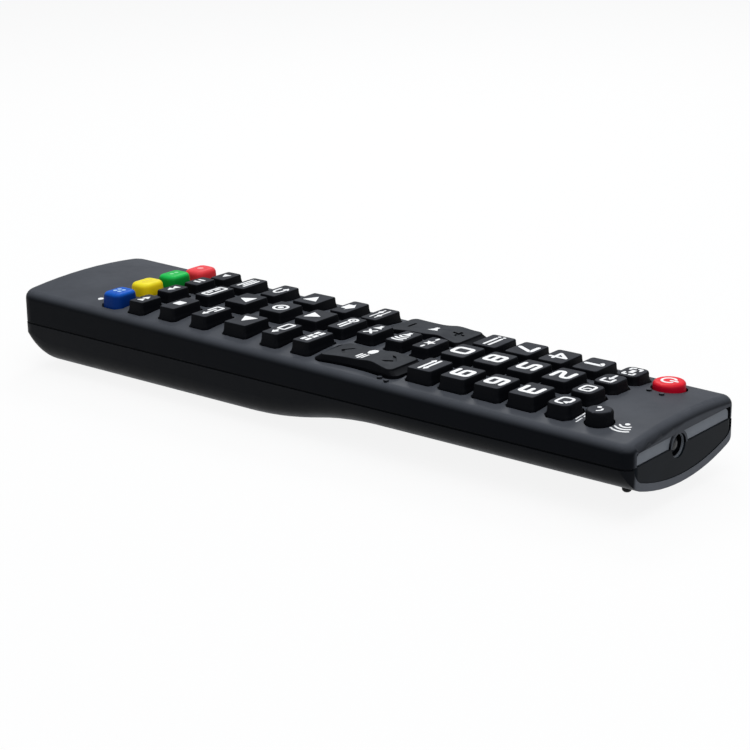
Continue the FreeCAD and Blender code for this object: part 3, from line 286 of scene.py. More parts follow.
# Black of painted shade, for the dark strip that stands in for the shadow in a gap
SHADOW = moulded("gap_painted_shade", (0.003, 0.003, 0.004), 0.8, 0.02)
BAND = moulded("band_satin", (0.215, 0.235, 0.265), 0.45, 0.1, change=0.06)
PRINT = ink("print_white", (0.94, 0.95, 0.96), change=0.02)
FAINT = {
    "red": ink("print_on_red", (0.94, 0.36, 0.36)),
    "green": ink("print_on_green", (0.22, 0.72, 0.32)),
    "yellow": ink("print_on_yellow", (0.86, 0.66, 0.03)),
    "blue": ink("print_on_blue", (0.35, 0.58, 0.92)),
}

SLOTS = {part["node"]: part["material_slot"] for part in frame["record"]["subparts"]}
for node, thing in frame["nodes"].items():
    for place in thing.material_slots:
        place.material = MATERIALS[SLOTS[node]]


# Mesh pieces

SMOOTH_ANGLE = 35.0
LEAST_RADIUS = 0.05
MERGE_WITHIN = 1e-7


def finish_mesh(name, made, material, body, smooth_angle=SMOOTH_ANGLE):
    """Turn a finished bmesh into a piece that rides on a body, flat shaded without an angle."""
    bmesh.ops.recalc_face_normals(made, faces=made.faces)
    data = bpy.data.meshes.new(name)
    made.to_mesh(data)
    made.free()
    data.materials.append(material)
    if smooth_angle:
        for face in data.polygons:
            face.use_smooth = True
        data.set_sharp_from_angle(angle=math.radians(smooth_angle))
    piece = bpy.data.objects.new(name, data)
    scene.collection.objects.link(piece)
    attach(piece, body)
    return piece


def skin(made, rings, ends=True):
    """Faces from each closed ring of vertices to the next, and over the first and last ring."""
    for low, high in zip(rings, rings[1:]):
        for i, corner in enumerate(low):
            j = (i + 1) % len(low)
            made.faces.new((corner, low[j], high[j], high[i]))
    if ends:
        made.faces.new(rings[0][::-1])
        made.faces.new(rings[-1])


def loft(loops):
    """Skin closed loops of points in millimetres, from the bottom up, and close both ends."""
    made = bmesh.new()
    skin(made, [[made.verts.new([v * MM for v in point]) for point in loop] for loop in loops])
    return made


def mean_place(low, high):
    """Middle of a box, along x and y, in millimetres."""
    return (low.x + high.x) / 2 / MM, (low.y + high.y) / 2 / MM


def rectangle(left, low, right, high):
    return [(left, low), (right, low), (right, high), (left, high)]


def outline(half_x, half_y, radius, steps=6):
    """Points round a rectangle with round corners."""
    radius = max(LEAST_RADIUS, min(radius, half_x, half_y))
    points = []
    for quarter, (sx, sy) in enumerate(((1, 1), (-1, 1), (-1, -1), (1, -1))):
        centre = (sx * (half_x - radius), sy * (half_y - radius))
        for step in range(steps + 1):
            turn = math.radians(90 * (quarter + step / steps))
            across, along = radius * math.cos(turn), radius * math.sin(turn)
            points.append((centre[0] + across, centre[1] + along))
    return points


# Signs: strokes and filled shapes in millimetres about the middle of a key, with the top of each
# sign towards the infrared end. WIDE and HIGH are half the width and height of a digit. A print
# reaches from PRINT_LOW to PRINT_HIGH about its surface, and its next shape lies LAYER higher.
WIDE = 1.85
HIGH = 2.25
STROKE = 1.15
THIN = 0.7
ROUND = 0.8
TIP_ROUND = 0.35
PRINT_HIGH = 0.03
PRINT_LOW = -0.02
LAYER = 0.004
BEND_STEPS = 5
BEND_SHARE = 1 / 2.01
SHARPEST = 0.5


def soften(points, radius, closed):
    """Replace the corners of a run of points by arcs, each on less than half of its sides."""
    made = []
    count = len(points)
    for i, point in enumerate(points):
        here = Vector(point)
        if not closed and i in (0, count - 1):
            made.append(here)
            continue
        before, after = Vector(points[i - 1]), Vector(points[(i + 1) % count])
        reach = min(radius, (before - here).length * BEND_SHARE, (after - here).length * BEND_SHARE)
        start = here + (before - here).normalized() * reach
        end = here + (after - here).normalized() * reach
        for step in range(BEND_STEPS + 1):
            t = step / BEND_STEPS
            made.append(start * (1 - t) ** 2 + here * 2 * t * (1 - t) + end * t * t)
    return made


def sides(points, width, closed):
    """The two long sides of a stroke, with the reach at sharp corners held back by SHARPEST."""
    left, right = [], []
    count = len(points)
    for i, here in enumerate(points):
        runs = []
        if closed or i:
            runs.append((here - points[i - 1]).normalized())
        if closed or i < count - 1:
            runs.append((points[(i + 1) % count] - here).normalized())
        along = (runs[0] + runs[-1]).normalized()
        across = Vector((-along.y, along.x))
        reach = width / 2 / max(SHARPEST, abs(across.dot(Vector((-runs[0].y, runs[0].x)))))
        left.append(here + across * reach)
        right.append(here - across * reach)
    return left, right


def raised(made, points, place, level):
    """Vertices over a sign's points, at a level above its place."""
    x, y, z = place
    return [made.verts.new(((x + p[0]) * MM, (y + p[1]) * MM, (z + level) * MM)) for p in points]


def prism(made, points, place, low, high):
    """Add a filled shape between two levels."""
    skin(made, [raised(made, points, place, level) for level in (low, high)])


def frame_prism(made, outer, inner, place, low, high):
    """Add a closed stroke between two levels, from two outlines with as many points."""
    outer_low, outer_high = [raised(made, outer, place, level) for level in (low, high)]
    inner_low, inner_high = [raised(made, inner, place, level) for level in (low, high)]
    skin(made, (outer_low, outer_high, inner_high, inner_low, outer_low), ends=False)


def strip_prism(made, left, right, first, last, place, low, high):
    """Add an open stroke between two levels: quads along it and a round end at each side."""
    rims = []
    for level in (low, high):
        a, b, start, end = [raised(made, run, place, level) for run in (left, right, first, last)]
        for i in range(len(left) - 1):
            made.faces.new((a[i], a[i + 1], b[i + 1], b[i]))
        made.faces.new([b[0]] + start + [a[0]])
        made.faces.new([a[-1]] + end + [b[-1]])
        rims.append(a + end + b[::-1] + start)
    skin(made, rims, ends=False)


def round_end(centre, start, steps=5):
    """Points of the half circle round the end of a stroke, clockwise from start."""
    spoke = start - centre
    return [centre + Matrix.Rotation(-math.pi * i / steps, 2) @ spoke for i in range(1, steps)]


def circle(x, y, radius, steps):
    turns = [2 * math.pi * i / steps for i in range(steps)]
    return [(x + radius * math.cos(t), y + radius * math.sin(t)) for t in turns]


def line(points, width=STROKE, radius=ROUND):
    return ("line", points, width, radius)


def dash(first, last, y, width=THIN):
    """Stroke across the key, from one x to another."""
    return line([(first, y), (last, y)], width)


def loop(points, width=STROKE, radius=ROUND):
    return ("loop", points, width, radius)


def solid(points, radius=0.12):
    return ("solid", points, 0, radius)


def ball(x, y, radius):
    return solid(circle(x, y, radius, 20), 0)


def hoop(x, y, radius, width=THIN):
    return loop(circle(x, y, radius, 28), width, 0)


def arc(x, y, radius, first, last, width=THIN, steps=12):
    turns = [math.radians(first + (last - first) * i / steps) for i in range(steps + 1)]
    return line([(x + radius * math.cos(t), y + radius * math.sin(t)) for t in turns], width, 0)


def triangle(x, y, reach, half, turn):
    """Filled arrow head about a point; turn 0 points to the infrared end."""
    corners = [(0, reach), (-half, -reach), (half, -reach)]
    spin = Matrix.Rotation(math.radians(turn), 2)
    return solid([tuple(Vector((x, y)) + spin @ Vector(c)) for c in corners], TIP_ROUND)


def star(outer, inner, points=5):
    """Filled star with one point towards the infrared end."""
    made = []
    for i, radius in enumerate([outer, inner] * points):
        turn = i * math.pi / points
        made.append((math.sin(turn) * radius, math.cos(turn) * radius))
    return solid(made, 0.1)


def draw(made, shapes, place, lift=0.0):
    """Add a sign's shapes to a mesh, each a hair above the one before."""
    for number, (kind, points, width, radius) in enumerate(shapes):
        low = PRINT_LOW + LAYER * number + lift
        high = PRINT_HIGH + LAYER * number + lift
        closed = kind != "line"
        run = soften(points, radius, closed) if radius else [Vector(p) for p in points]
        if kind == "solid":
            prism(made, run, place, low, high)
            continue
        left, right = sides(run, width, closed)
        if closed:
            frame_prism(made, right, left, place, low, high)
        else:
            first, last = round_end(run[0], right[0]), round_end(run[-1], left[-1])
            strip_prism(made, left, right, first, last, place, low, high)


SPEAKER = solid([(-3.2, -0.5), (-2.1, -0.5), (-0.9, -1.4), (-0.9, 1.4), (-2.1, 0.5), (-3.2, 0.5)])
SIGNS = {
    "0": [loop(rectangle(-WIDE, -HIGH, WIDE, HIGH), radius=1.1)],
    "1": [line([(-1.1, HIGH - 0.6), (0.1, HIGH), (0.1, -HIGH)], radius=0.6)],
    "2": [line([(-WIDE, HIGH), (WIDE, HIGH), (WIDE, 0.35), (-WIDE, -0.75), (-WIDE, -HIGH),
                (WIDE, -HIGH)])],
    "3": [line([(-WIDE, HIGH), (WIDE, HIGH), (WIDE, -HIGH), (-WIDE, -HIGH)]),
          dash(-0.7, WIDE, 0, STROKE)],
    "4": [line([(0.9, -HIGH), (0.9, HIGH)], 0.9), line([(0.9, HIGH), (-WIDE, -0.9)], 0.9),
          dash(-WIDE, WIDE, -0.9, 0.9)],
    "5": [line([(WIDE, HIGH), (-WIDE, HIGH), (-WIDE, 0.35), (WIDE, 0.35), (WIDE, -HIGH),
                (-WIDE, -HIGH)])],
    "6": [line([(WIDE, HIGH), (-WIDE, HIGH), (-WIDE, -HIGH), (WIDE, -HIGH), (WIDE, 0.3), (0, 0.3)]),
          dash(-WIDE + 0.1, 0.1, 0.3, STROKE)],
    "7": [line([(-WIDE, HIGH), (WIDE, HIGH), (-0.4, -HIGH)], radius=0.7)],
    "8": [loop(rectangle(-WIDE, -HIGH, WIDE, 0.05)), loop(rectangle(-WIDE, -0.05, WIDE, HIGH))],
    "9": [line([(-WIDE, -HIGH), (WIDE, -HIGH), (WIDE, HIGH), (-WIDE, HIGH), (-WIDE, -0.3),
                (0, -0.3)]),
          dash(WIDE - 0.1, -0.1, -0.3, STROKE)],
    "list": [ball(-3.3, 0.75, 0.45), dash(-2.2, 3.3, 0.75),
             ball(-3.3, -0.75, 0.45), dash(-2.2, 3.3, -0.75)],
    "recall": [dash(-3.5, 2.2, 0.65), triangle(2.9, 0.65, 0.8, 0.85, -90),
               dash(3.5, -2.2, -0.65), triangle(-2.9, -0.65, 0.8, 0.85, 90)],
    "favourite": [star(1.7, 0.75), dash(-3.5, -2.5, 0), dash(2.5, 3.5, 0)],
    "mute_far": [SPEAKER, arc(-1.2, 0, 1.6, -48, 48), arc(-1.2, 0, 2.9, -32, 32),
                 arc(-1.2, 0, 4.2, -22, 22)],
    "mute": [SPEAKER, line([(0.6, -1.1), (3.0, 1.1)], THIN), line([(0.6, 1.1), (3.0, -1.1)], THIN)],
    "settings": [dash(-3.2, 3.2, 0.8, 0.45), ball(1.3, 0.8, 0.7),
                 dash(-3.2, 3.2, -0.8, 0.45), ball(-1.3, -0.8, 0.7)],
    "info": [hoop(-2.5, 0, 1.15), ball(-2.5, 0, 0.4), dash(-0.5, 3.5, 0.65), dash(-0.5, 2.6, -0.65)],
    "guide": [solid(rectangle(x - 1.0, y - 0.5, x + 1.0, y + 0.5))
              for y in (-0.75, 0.75) for x in (-2.6, 0, 2.6)],
    "menu": [solid([(-2.6, 0.1), (0, 1.7), (2.6, 0.1)]), solid(rectangle(-1.7, -1.6, 1.7, 0.1))],
    "up": [triangle(0.3, -0.3, 2.0, 2.3, 0)],
    "down": [triangle(0.3, 0.3, 2.0, 2.3, 180)],
    "left": [triangle(0.0, 0.0, 2.0, 2.3, 90)],
    "right": [triangle(-0.4, -0.3, 2.0, 2.3, -90)],
    "ok": [hoop(0.3, 0.3, 1.9, 0.75), ball(0.3, 0.3, 0.85)],
    "source_list": [loop(rectangle(-3.8, -1.1, 0.4, 1.1), THIN, 0.4), dash(1.6, 2.4, 0),
                    triangle(3.1, 0, 0.9, 1.1, -90)],
    "back": [line([(-1.4, 1.1), (1.2, 1.1), (2.2, 0.1), (1.2, -1.1), (-1.8, -1.1)], THIN),
             triangle(-1.9, 1.1, 0.8, 1.1, 90)],
    "exit": [line([(-0.2, 1.2), (-3.6, 1.2), (-3.6, -1.2), (-0.2, -1.2)], THIN, 0.4),
             dash(-1.8, 1.9, 0), triangle(2.6, 0, 0.9, 1.1, -90)],
    "text": [dash(-3, x, y) for x, y in ((3.0, 1.1), (2.0, 0), (3.0, -1.1))],
    "subtitle": [loop(rectangle(-3.6, -1.3, 3.6, 1.3), THIN, 0.5),
                 dash(-2.3, -0.7, -0.3), dash(0.7, 2.3, -0.3)],
    "stop": [solid(rectangle(-1.4, -1.4, 1.4, 1.4), 0.4)],
    "ratio": [*(line([(2.3 * sx, 0.5 * sy), (2.3 * sx, 1.4 * sy), (1.2 * sx, 1.4 * sy)], THIN, 0.2)
                for sx, sy in ((-1, 1), (1, 1), (1, -1), (-1, -1))),
              solid(rectangle(-1.1, -0.6, 1.1, 0.6))],
    "input": [line([(0.2, 1.4), (2.2, 1.4), (2.2, -1.4), (0.2, -1.4)], THIN, 0.3),
              dash(-2.6, -0.6, 0), triangle(0.1, 0, 0.7, 0.9, -90)],
    "sleep": [loop(rectangle(-1.8, -1.5, 1.8, 1.5), THIN, 0.9),
              line([(0, 0.8), (0, 0), (0.9, -0.6)], 0.5, 0.1)],
    "cycle": [line([(0.5, 1.7), (-2.0, 1.7), (-2.0, -1.5), (2.0, -1.5), (2.0, 0.6)], THIN, 1.2),
              triangle(1.1, 1.2, 0.8, 0.9, -60)],
    "play": [triangle(0.2, 0, 1.2, 1.3, -90)],
    "pause": [solid(rectangle(-1.3, -1.2, -0.45, 1.2)), solid(rectangle(0.45, -1.2, 1.3, 1.2))],
    "forward": [triangle(-1.0, 0, 1.0, 1.2, -90), triangle(1.0, 0, 1.0, 1.2, -90)],
    "rewind": [triangle(-1.0, 0, 1.0, 1.2, 90), triangle(1.0, 0, 1.0, 1.2, 90)],
    "red": [ball(0, 0, 0.9)],
    "green": [ball(-0.9, 0, 0.6), ball(0.9, 0, 0.6)],
    "yellow": [ball(-1.4, 0, 0.5), ball(0, 0, 0.5), ball(1.4, 0, 0.5)],
    "blue": [ball(-0.8, 0.8, 0.6), ball(0.8, 0.8, 0.6), ball(-0.8, -0.8, 0.6), ball(0.8, -0.8, 0.6)],
    "power": [arc(0, -0.1, 1.7, 125, 415, 0.65, 24), line([(0, 0.4), (0, 2.2)], 0.65)],
    "source": [ball(-0.9, -0.6, 0.55), line([(-0.2, 0.7), (0.7, 0.9), (1.5, 0.2)], 0.5, 0.3)],
}


def add_sign(key, place):
    made = bmesh.new()
    draw(made, SIGNS[key], place)
    finish_mesh("sign_" + key, made, FAINT.get(key, PRINT), "key_" + key, None)


# Key caps: width, depth and corner radius at the foot, radius of the top edge, how far the foot
# flares out, draft of the sides and steps round a corner

Cap = namedtuple("Cap", "width depth corner edge flare draft steps",
                 defaults=(1.0, KEY_DRAFT, 6))
DIGIT = Cap(10.2, 8.0, 1.3, 0.35)
SMALL = Cap(7.9, 6.9, 2.2, 0.45)
MIDDLE = Cap(9.8, 6.1, 1.2, 0.35)
BROAD = Cap(11.1, 6.1, 1.2, 0.35)
ARROW = Cap(9.9, 8.3, 1.0, 0.35)
PLAY = Cap(8.3, 5.8, 1.2, 0.4)
COLOUR = Cap(8.6, 7.1, 2.4, 1.2, flare=0.0)
POWER = Cap(7.9, 7.9, 3.95, 0.95, flare=0.0, draft=0.0, steps=12)
SOURCE = Cap(6.4, 6.4, 3.2, 0.8, flare=0.3, draft=0.0, steps=12)
KIND_OF = {
    **{key: DIGIT for key in ("1", "2", "3", "4", "5", "6", "7", "8", "9", "list", "0", "recall")},
    **{key: SMALL for key in ("ratio", "input", "sleep", "cycle")},
    **{key: PLAY for key in ("play", "pause", "forward", "rewind")},
    **{key: COLOUR for key in ("red", "green", "yellow", "blue")},
    "power": POWER,
    "source": SOURCE,
}

# Heights above the face, and how far the foot of a cap flares out there
FLARE = ((-0.9, 0.22), (0.05, 0.24), (0.3, 0.15), (0.7, 0.05), (1.1, 0.0))

# A node is wider and deeper than its cap by its flange, which the cap's mesh leaves out. The mesh
# starts just above the flange and ends in a ring inside its round edge.
FLANGE_WIDER = 1.3
FOOT_CLEAR = 0.02
ROUND_STEPS = 5
TOP_LAND = 0.35

# Tops end a little below their nodes, rise towards +x and stay below the top of the CAD box
TOP_DROP = 0.08
TOP_LEAN = 0.022
TOP_CLEAR = 0.06


def kind_from_box(key):
    """Middle, broad and arrow caps are told apart by the size of their nodes."""
    low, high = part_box("key_" + key)
    width, depth = (high.x - low.x) / MM - FLANGE_WIDER, (high.y - low.y) / MM - FLANGE_WIDER
    kinds = (MIDDLE, BROAD, ARROW)
    return min(kinds, key=lambda kind: abs(kind.width - width) + abs(kind.depth - depth))


def cap(key, kind):
    """Rubber key cap in place of its CAD node: flared foot, drafted sides, round top edge."""
    low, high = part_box("key_" + key)
    x, y = mean_place(low, high)
    top = min(high.z / MM - TOP_DROP + TOP_LEAN * x, CAD_BOX[1].z / MM - TOP_CLEAR)
    face = face_height(x, y)
    foot = LIFT + FACE_HIGH - FACE_SLOPE * y - FACE_THICK - STOP_GAP

    def ring(height, inset):
        inset += (height - foot) * kind.draft
        corners = outline(kind.width / 2 - inset, kind.depth / 2 - inset, kind.corner - inset,
                          kind.steps)
        return [(x + px, y + py, height) for px, py in corners]

    loops = [ring(foot + FOOT_CLEAR, 0.0)]
    loops += [ring(face + up, -wide * kind.flare) for up, wide in FLARE
              if face + up < top - kind.edge]
    for step in range(ROUND_STEPS + 1):
        turn = math.radians(90 * step / ROUND_STEPS)
        height = top - kind.edge * (1 - math.sin(turn))
        loops.append(ring(height, kind.edge * (1 - math.cos(turn))))
    loops.append(ring(top, kind.edge + TOP_LAND))
    slot = SLOTS["key_" + key]
    piece = finish_mesh("cap_" + key, loft(loops), MATERIALS[slot], "key_" + key)
    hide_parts("key_" + key)
    return x, y, top


KEYS = sorted(node.removeprefix("key_") for node in frame["nodes"] if node.startswith("key_"))
for key in KEYS:
    place = cap(key, KIND_OF.get(key) or kind_from_box(key))
    add_sign(key, place)


# Rockers: a waisted cap with a saddle top and sunk marks. Its sides bow in to the waist with the
# radius ROCKER_BOW. Its skirt, below the face, is as long as its node, so that only a narrow gap
# shows at the ends, and above the face both ends lean in by END_LEAN.

ROCKER_WIDTH = 12.0
ROCKER_LENGTH = 24.4
SKIRT_LENGTH = 26.4
ROCKER_WAIST = 9.8
ROCKER_BOW = 50.0
ROCKER_EDGE = 0.35
ROCKER_CORNER = 1.5
OUTLINE_STEP = 1.2
EDGE_ROOM = 0.1
END_LEAN = 0.5
FOOT_DEEP = 2.2
SKIRT_TOP = -0.3

# The top lies TOP_SUNK below its node, falls by END_FALL at END_REACH from the middle and swells
# by SWELL_HIGH at SWELL_PLACE towards the infrared end
TOP_SUNK = 0.7
END_FALL = 0.35
END_REACH = 12.0
SWELL_HIGH = 0.5
SWELL_PLACE = 4.5
SWELL_LONG = 3.0
TOP_RINGS = 5
TOP_RING_STEP = 0.75

# Sunk marks: their distance from the rocker's middle and their depth, half the length and half
# the width of a bar, and an angle bracket's half width, height, thickness and how far its tip
# lies past MARK_REACH
MARK_REACH = 7.5
MARK_DEEP = 0.4
MARK_ARM = 1.7
MARK_HALF = 0.42
CHEVRON_WIDE = 2.3
CHEVRON_HIGH = 2.0
CHEVRON_THICK = 1.1
CHEVRON_PAST = 0.2
CUTTER_HIGH = 1.0


def rocker_outline():
    """Rectangle with round corners, with points close together along its sides."""
    points = outline(ROCKER_WIDTH / 2, ROCKER_LENGTH / 2, ROCKER_CORNER, 5)
    made = []
    for i, here in enumerate(points):
        after = points[(i + 1) % len(points)]
        pieces = max(1, round(math.dist(here, after) / OUTLINE_STEP))
        for k in range(pieces):
            t = k / pieces
            made.append((here[0] * (1 - t) + after[0] * t, here[1] * (1 - t) + after[1] * t))
    return made


def rocker_loop(centre, inset, height_of, end_inset=0.0):
    """Outline of the waisted cap, pulled in by inset, and by end_inset at both ends."""
    x, y = centre
    half = ROCKER_LENGTH / 2 - inset - end_inset
    made = []
    for px, py in rocker_outline():
        waist = ROCKER_WAIST / 2 + ROCKER_BOW - math.sqrt(ROCKER_BOW ** 2 - py * py)
        side = min(ROCKER_WIDTH / 2, waist) / (ROCKER_WIDTH / 2)
        shrink = max(0.0, 1 - inset / (ROCKER_WIDTH / 2 * side))
        py *= half / (ROCKER_LENGTH / 2)
        made.append((x + px * side * shrink, y + py, height_of(py)))
    return made


def sink_marks(piece, marks, place, top):
    """Cut the marks into the top of a rocker."""
    cutter = bmesh.new()
    for mark in marks:
        draw(cutter, [mark], (*place, 0), lift=-MARK_DEEP - PRINT_LOW)
    lid = (PRINT_HIGH - PRINT_LOW) / 2 - MARK_DEEP
    for corner in cutter.verts:
        if corner.co.z / MM > lid:
            corner.co.z += CUTTER_HIGH * MM
        corner.co.z += top(corner.co.y / MM - place[1]) * MM
    bmesh.ops.recalc_face_normals(cutter, faces=cutter.faces)
    data = bpy.data.meshes.new("marks")
    cutter.to_mesh(data)
    cutter.free()
    tool = bpy.data.objects.new("marks", data)
    scene.collection.objects.link(tool)
    cut = piece.modifiers.new("marks", "BOOLEAN")
    cut.operation = "DIFFERENCE"
    cut.solver = "FAST"
    cut.object = tool
    seen = bpy.context.evaluated_depsgraph_get()
    whole = bpy.data.meshes.new_from_object(piece.evaluated_get(seen))
    piece.modifiers.clear()
    piece.data = whole
    whole.set_sharp_from_angle(angle=math.radians(SMOOTH_ANGLE))
    bpy.data.objects.remove(tool)


def rocker(name, marks, sign):
    low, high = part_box("rocker_" + name)
    x, y = mean_place(low, high)
    crest = high.z / MM - TOP_SUNK
    face = face_height(x, y)
    foot = face - FOOT_DEEP

    def top(along):
        """The top falls towards both ends and swells a little on the infrared side."""
        swell = SWELL_HIGH * math.exp(-((along - SWELL_PLACE) / SWELL_LONG) ** 2)
        return crest - END_FALL * (along / END_REACH) ** 2 + swell

    def level(height):
        return lambda along: height

    skirt = (ROCKER_LENGTH - SKIRT_LENGTH) / 2
    loops = [rocker_loop((x, y), 0.0, level(height), skirt) for height in (foot, face + SKIRT_TOP)]
    ends_high = top(ROCKER_LENGTH / 2) - ROCKER_EDGE - face
    for up, wide in FLARE[1:4]:
        if up < ends_high - EDGE_ROOM:
            lean = skirt + (END_LEAN - skirt) * up / ends_high
            drafted = (up + FOOT_DEEP) * KEY_DRAFT - wide
            loops.append(rocker_loop((x, y), drafted, level(face + up), lean))
    inset = (crest - ROCKER_EDGE - foot) * KEY_DRAFT
    for step in range(ROUND_STEPS + 1):
        turn = math.radians(90 * step / ROUND_STEPS)
        drop = ROCKER_EDGE * (1 - math.sin(turn))
        loops.append(rocker_loop((x, y), inset + ROCKER_EDGE * (1 - math.cos(turn)),
                                 lambda along, drop=drop: top(along) - drop, END_LEAN))
    for ring in range(1, TOP_RINGS + 1):
        inner = inset + ROCKER_EDGE + ring * TOP_RING_STEP
        loops.append(rocker_loop((x, y), inner, top, END_LEAN))
    piece = finish_mesh("cap_" + name, loft(loops), MATERIALS["rocker"], "rocker_" + name)
    sink_marks(piece, marks, (x, y), top)
    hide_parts("rocker_" + name)
    made = bmesh.new()
    draw(made, sign, (x, y, top(0)))
    for corner in made.verts:
        corner.co.z += (top(corner.co.y / MM - y) - top(0)) * MM
    finish_mesh("sign_" + name, made, PRINT, "rocker_" + name, None)


def minus(middle):
    """Bar across the rocker, at this distance from its middle."""
    return solid(rectangle(-MARK_ARM, middle - MARK_HALF, MARK_ARM, middle + MARK_HALF), 0)


def plus(middle):
    """Two crossed bars, at this distance from the rocker's middle."""
    made = []
    bend = [(-MARK_ARM, -MARK_HALF), (-MARK_HALF, -MARK_HALF), (-MARK_HALF, -MARK_ARM)]
    for quarter in range(4):
        made += [(px, middle + py) for px, py in bend]
        bend = [(-py, px) for px, py in bend]
    return solid(made, 0)


def chevron(side):
    """Angle bracket that points along +y for side 1 and along -y for side -1."""
    tip = MARK_REACH + CHEVRON_PAST
    arm = tip - CHEVRON_HIGH
    low = [(-CHEVRON_WIDE, arm), (0, tip), (CHEVRON_WIDE, arm)]
    points = low + [(px, py + CHEVRON_THICK) for px, py in low[::-1]]
    return solid([(px, side * py) for px, py in points], 0)


VOLUME_SIGN = [
    solid([(-1.4, -0.6), (-0.3, -0.6), (1.2, -1.6), (1.2, 1.6), (-0.3, 0.6), (-1.4, 0.6)]),
]
PAGE_SIGN = [
    solid([(-3.9, -1.2), (-2.3, -1.9), (-0.6, -1.0), (-0.6, 0.4), (-2.3, 0.9), (-3.9, 0.2)], 0.5),
    dash(0.4, 3.0, 0.2, 0.6),
    dash(0.4, 3.4, -0.8, 0.6),
    dash(0.4, 2.6, -1.8, 0.6),
]
rocker("volume", [minus(-MARK_REACH), plus(MARK_REACH)], VOLUME_SIGN)
rocker("page", [chevron(1), chevron(-1)], PAGE_SIGN)


# Prints on the key face: a dot by the tail keys, short bars and a transmit sign

DOT_PLACE = (16.2, -74.1)
BARS_PLACE = (14.45, 81.3)
SIGNAL_PLACE = (15.0, 92.4)
BARS = [dash(-2.6, -0.6, 0.5, 0.4), dash(0.4, 2.6, 0.5, 0.4), dash(-2.6, 1.4, -0.4, 0.4)]
SIGNAL = [
    ball(-2.6, 0, 0.6),
    arc(-2.6, 0, 1.7, -55, 55, 0.5),
    arc(-2.6, 0, 2.9, -42, 42, 0.5),
    arc(-2.6, 0, 4.1, -34, 34, 0.5),
]


def face_print(made, shapes, place):
    """Add shapes to a mesh so that they follow the crown and slope of the face."""
    middle = face_height(*place)
    before = len(made.verts)
    draw(made, shapes, (*place, middle))
    made.verts.ensure_lookup_table()
    for corner in made.verts[before:]:
        corner.co.z += (face_height(corner.co.x / MM, corner.co.y / MM) - middle) * MM


made = bmesh.new()
face_print(made, [ball(0, 0, 0.8)], DOT_PLACE)
face_print(made, BARS, BARS_PLACE)
face_print(made, SIGNAL, SIGNAL_PLACE)
finish_mesh("face_prints", made, PRINT, "housing", None)


# Head end: satin strip in the recess above the seam, on both sides of the arch over the lamp,
# and behind it a dark strip of painted shade, whose rim shows as a gap. Levels are measured from
# the seam, and a strip goes from back to front along y.

LAMP_X = 2.6
LAMP_WIDTH = 5.0
HOLE_WIDTH = 5.9
RECESS_FLOOR = 99.4
ARC_STEPS = 6

Strip = namedtuple("Strip", "half low high corner arch back front")
GAP_STRIP = Strip(half=20.2, low=0.02, high=3.08, corner=0.3, arch=3.68,
                  back=RECESS_FLOOR - 0.02, front=RECESS_FLOOR + 0.02)
SATIN_STRIP = Strip(half=19.8, low=0.15, high=2.8, corner=1.5, arch=3.8,
                    back=RECESS_FLOOR, front=RECESS_FLOOR + 0.12)


def strip(name, material, form):
    """Flat strip on both sides of the arch, with its outer top corner rounded."""
    made = bmesh.new()
    for side in (1, -1):
        rim = []
        for step in range(ARC_STEPS + 1):
            level = form.low + (form.high - form.low) * step / ARC_STEPS
            rim.append((LAMP_X + side * math.sqrt(form.arch ** 2 - level ** 2), level))
        for step in range(ARC_STEPS + 1):
            spin = math.radians(90 - 90 * step / ARC_STEPS)
            rim.append((side * (form.half - form.corner + form.corner * math.cos(spin)),
                        form.high - form.corner + form.corner * math.sin(spin)))
        rim.append((side * form.half, form.low))
        skin(made, [[made.verts.new((x * MM, y * MM, (LIFT + z) * MM)) for x, z in rim]
                    for y in (form.back, form.front)])
    finish_mesh(name, made, material, "housing")


strip("band_gap", SHADOW, GAP_STRIP)
strip("band", BAND, SATIN_STRIP)


# Infrared lamp with its two leads, and a light rim in its hole, painted light on the hole's wall

DOME_LONG = 2.1
LAMP_LONG = 8.4
LEAD_PLACE = 1.27
LEAD_WIDTH = 0.5
LEAD_SUNK = 0.2
RIM_BACK = 98.9
RIM_FRONT = 99.35
RIM_CLEAR = 0.02
RIM_THICK = 0.25


def lathe(made, middle, axis, profile, steps=32, ends=True):
    """Turn a profile of radius and place along the axis about that axis."""
    rings = []
    for radius, along in profile:
        ring = []
        for i in range(steps):
            spin = 2 * math.pi * i / steps
            point = [0, 0, 0]
            point[axis] = along
            point[(axis + 1) % 3] = middle[(axis + 1) % 3] + radius * math.cos(spin)
            point[(axis + 2) % 3] = middle[(axis + 2) % 3] + radius * math.sin(spin)
            ring.append(made.verts.new([v * MM for v in point]))
        rings.append(ring)
    skin(made, rings, ends)


lamp_low, lamp_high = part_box("ir_lamp")
lamp_tip = lamp_high.y / MM
lamp_back = lamp_tip - LAMP_LONG
profile = [(LAMP_WIDTH / 2, lamp_back)]
for degrees in (0, 15, 30, 45, 60, 72, 82, 88):
    spin = math.radians(degrees)
    profile.append((LAMP_WIDTH / 2 * math.cos(spin), lamp_tip - DOME_LONG * (1 - math.sin(spin))))
made = bmesh.new()
lathe(made, (LAMP_X, 0, LIFT), 1, profile)
for side in (-1, 1):
    x = LAMP_X + side * LEAD_PLACE
    section = rectangle(x - LEAD_WIDTH / 2, -LEAD_WIDTH, x + LEAD_WIDTH / 2, 0)
    skin(made, [[made.verts.new((px * MM, y * MM, (LIFT + pz) * MM)) for px, pz in section]
                for y in (lamp_low.y / MM, lamp_back + LEAD_SUNK)])
lamp_piece = finish_mesh("lamp_dome", made, MATERIALS["lamp"], "housing", 60.0)
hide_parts("ir_lamp")

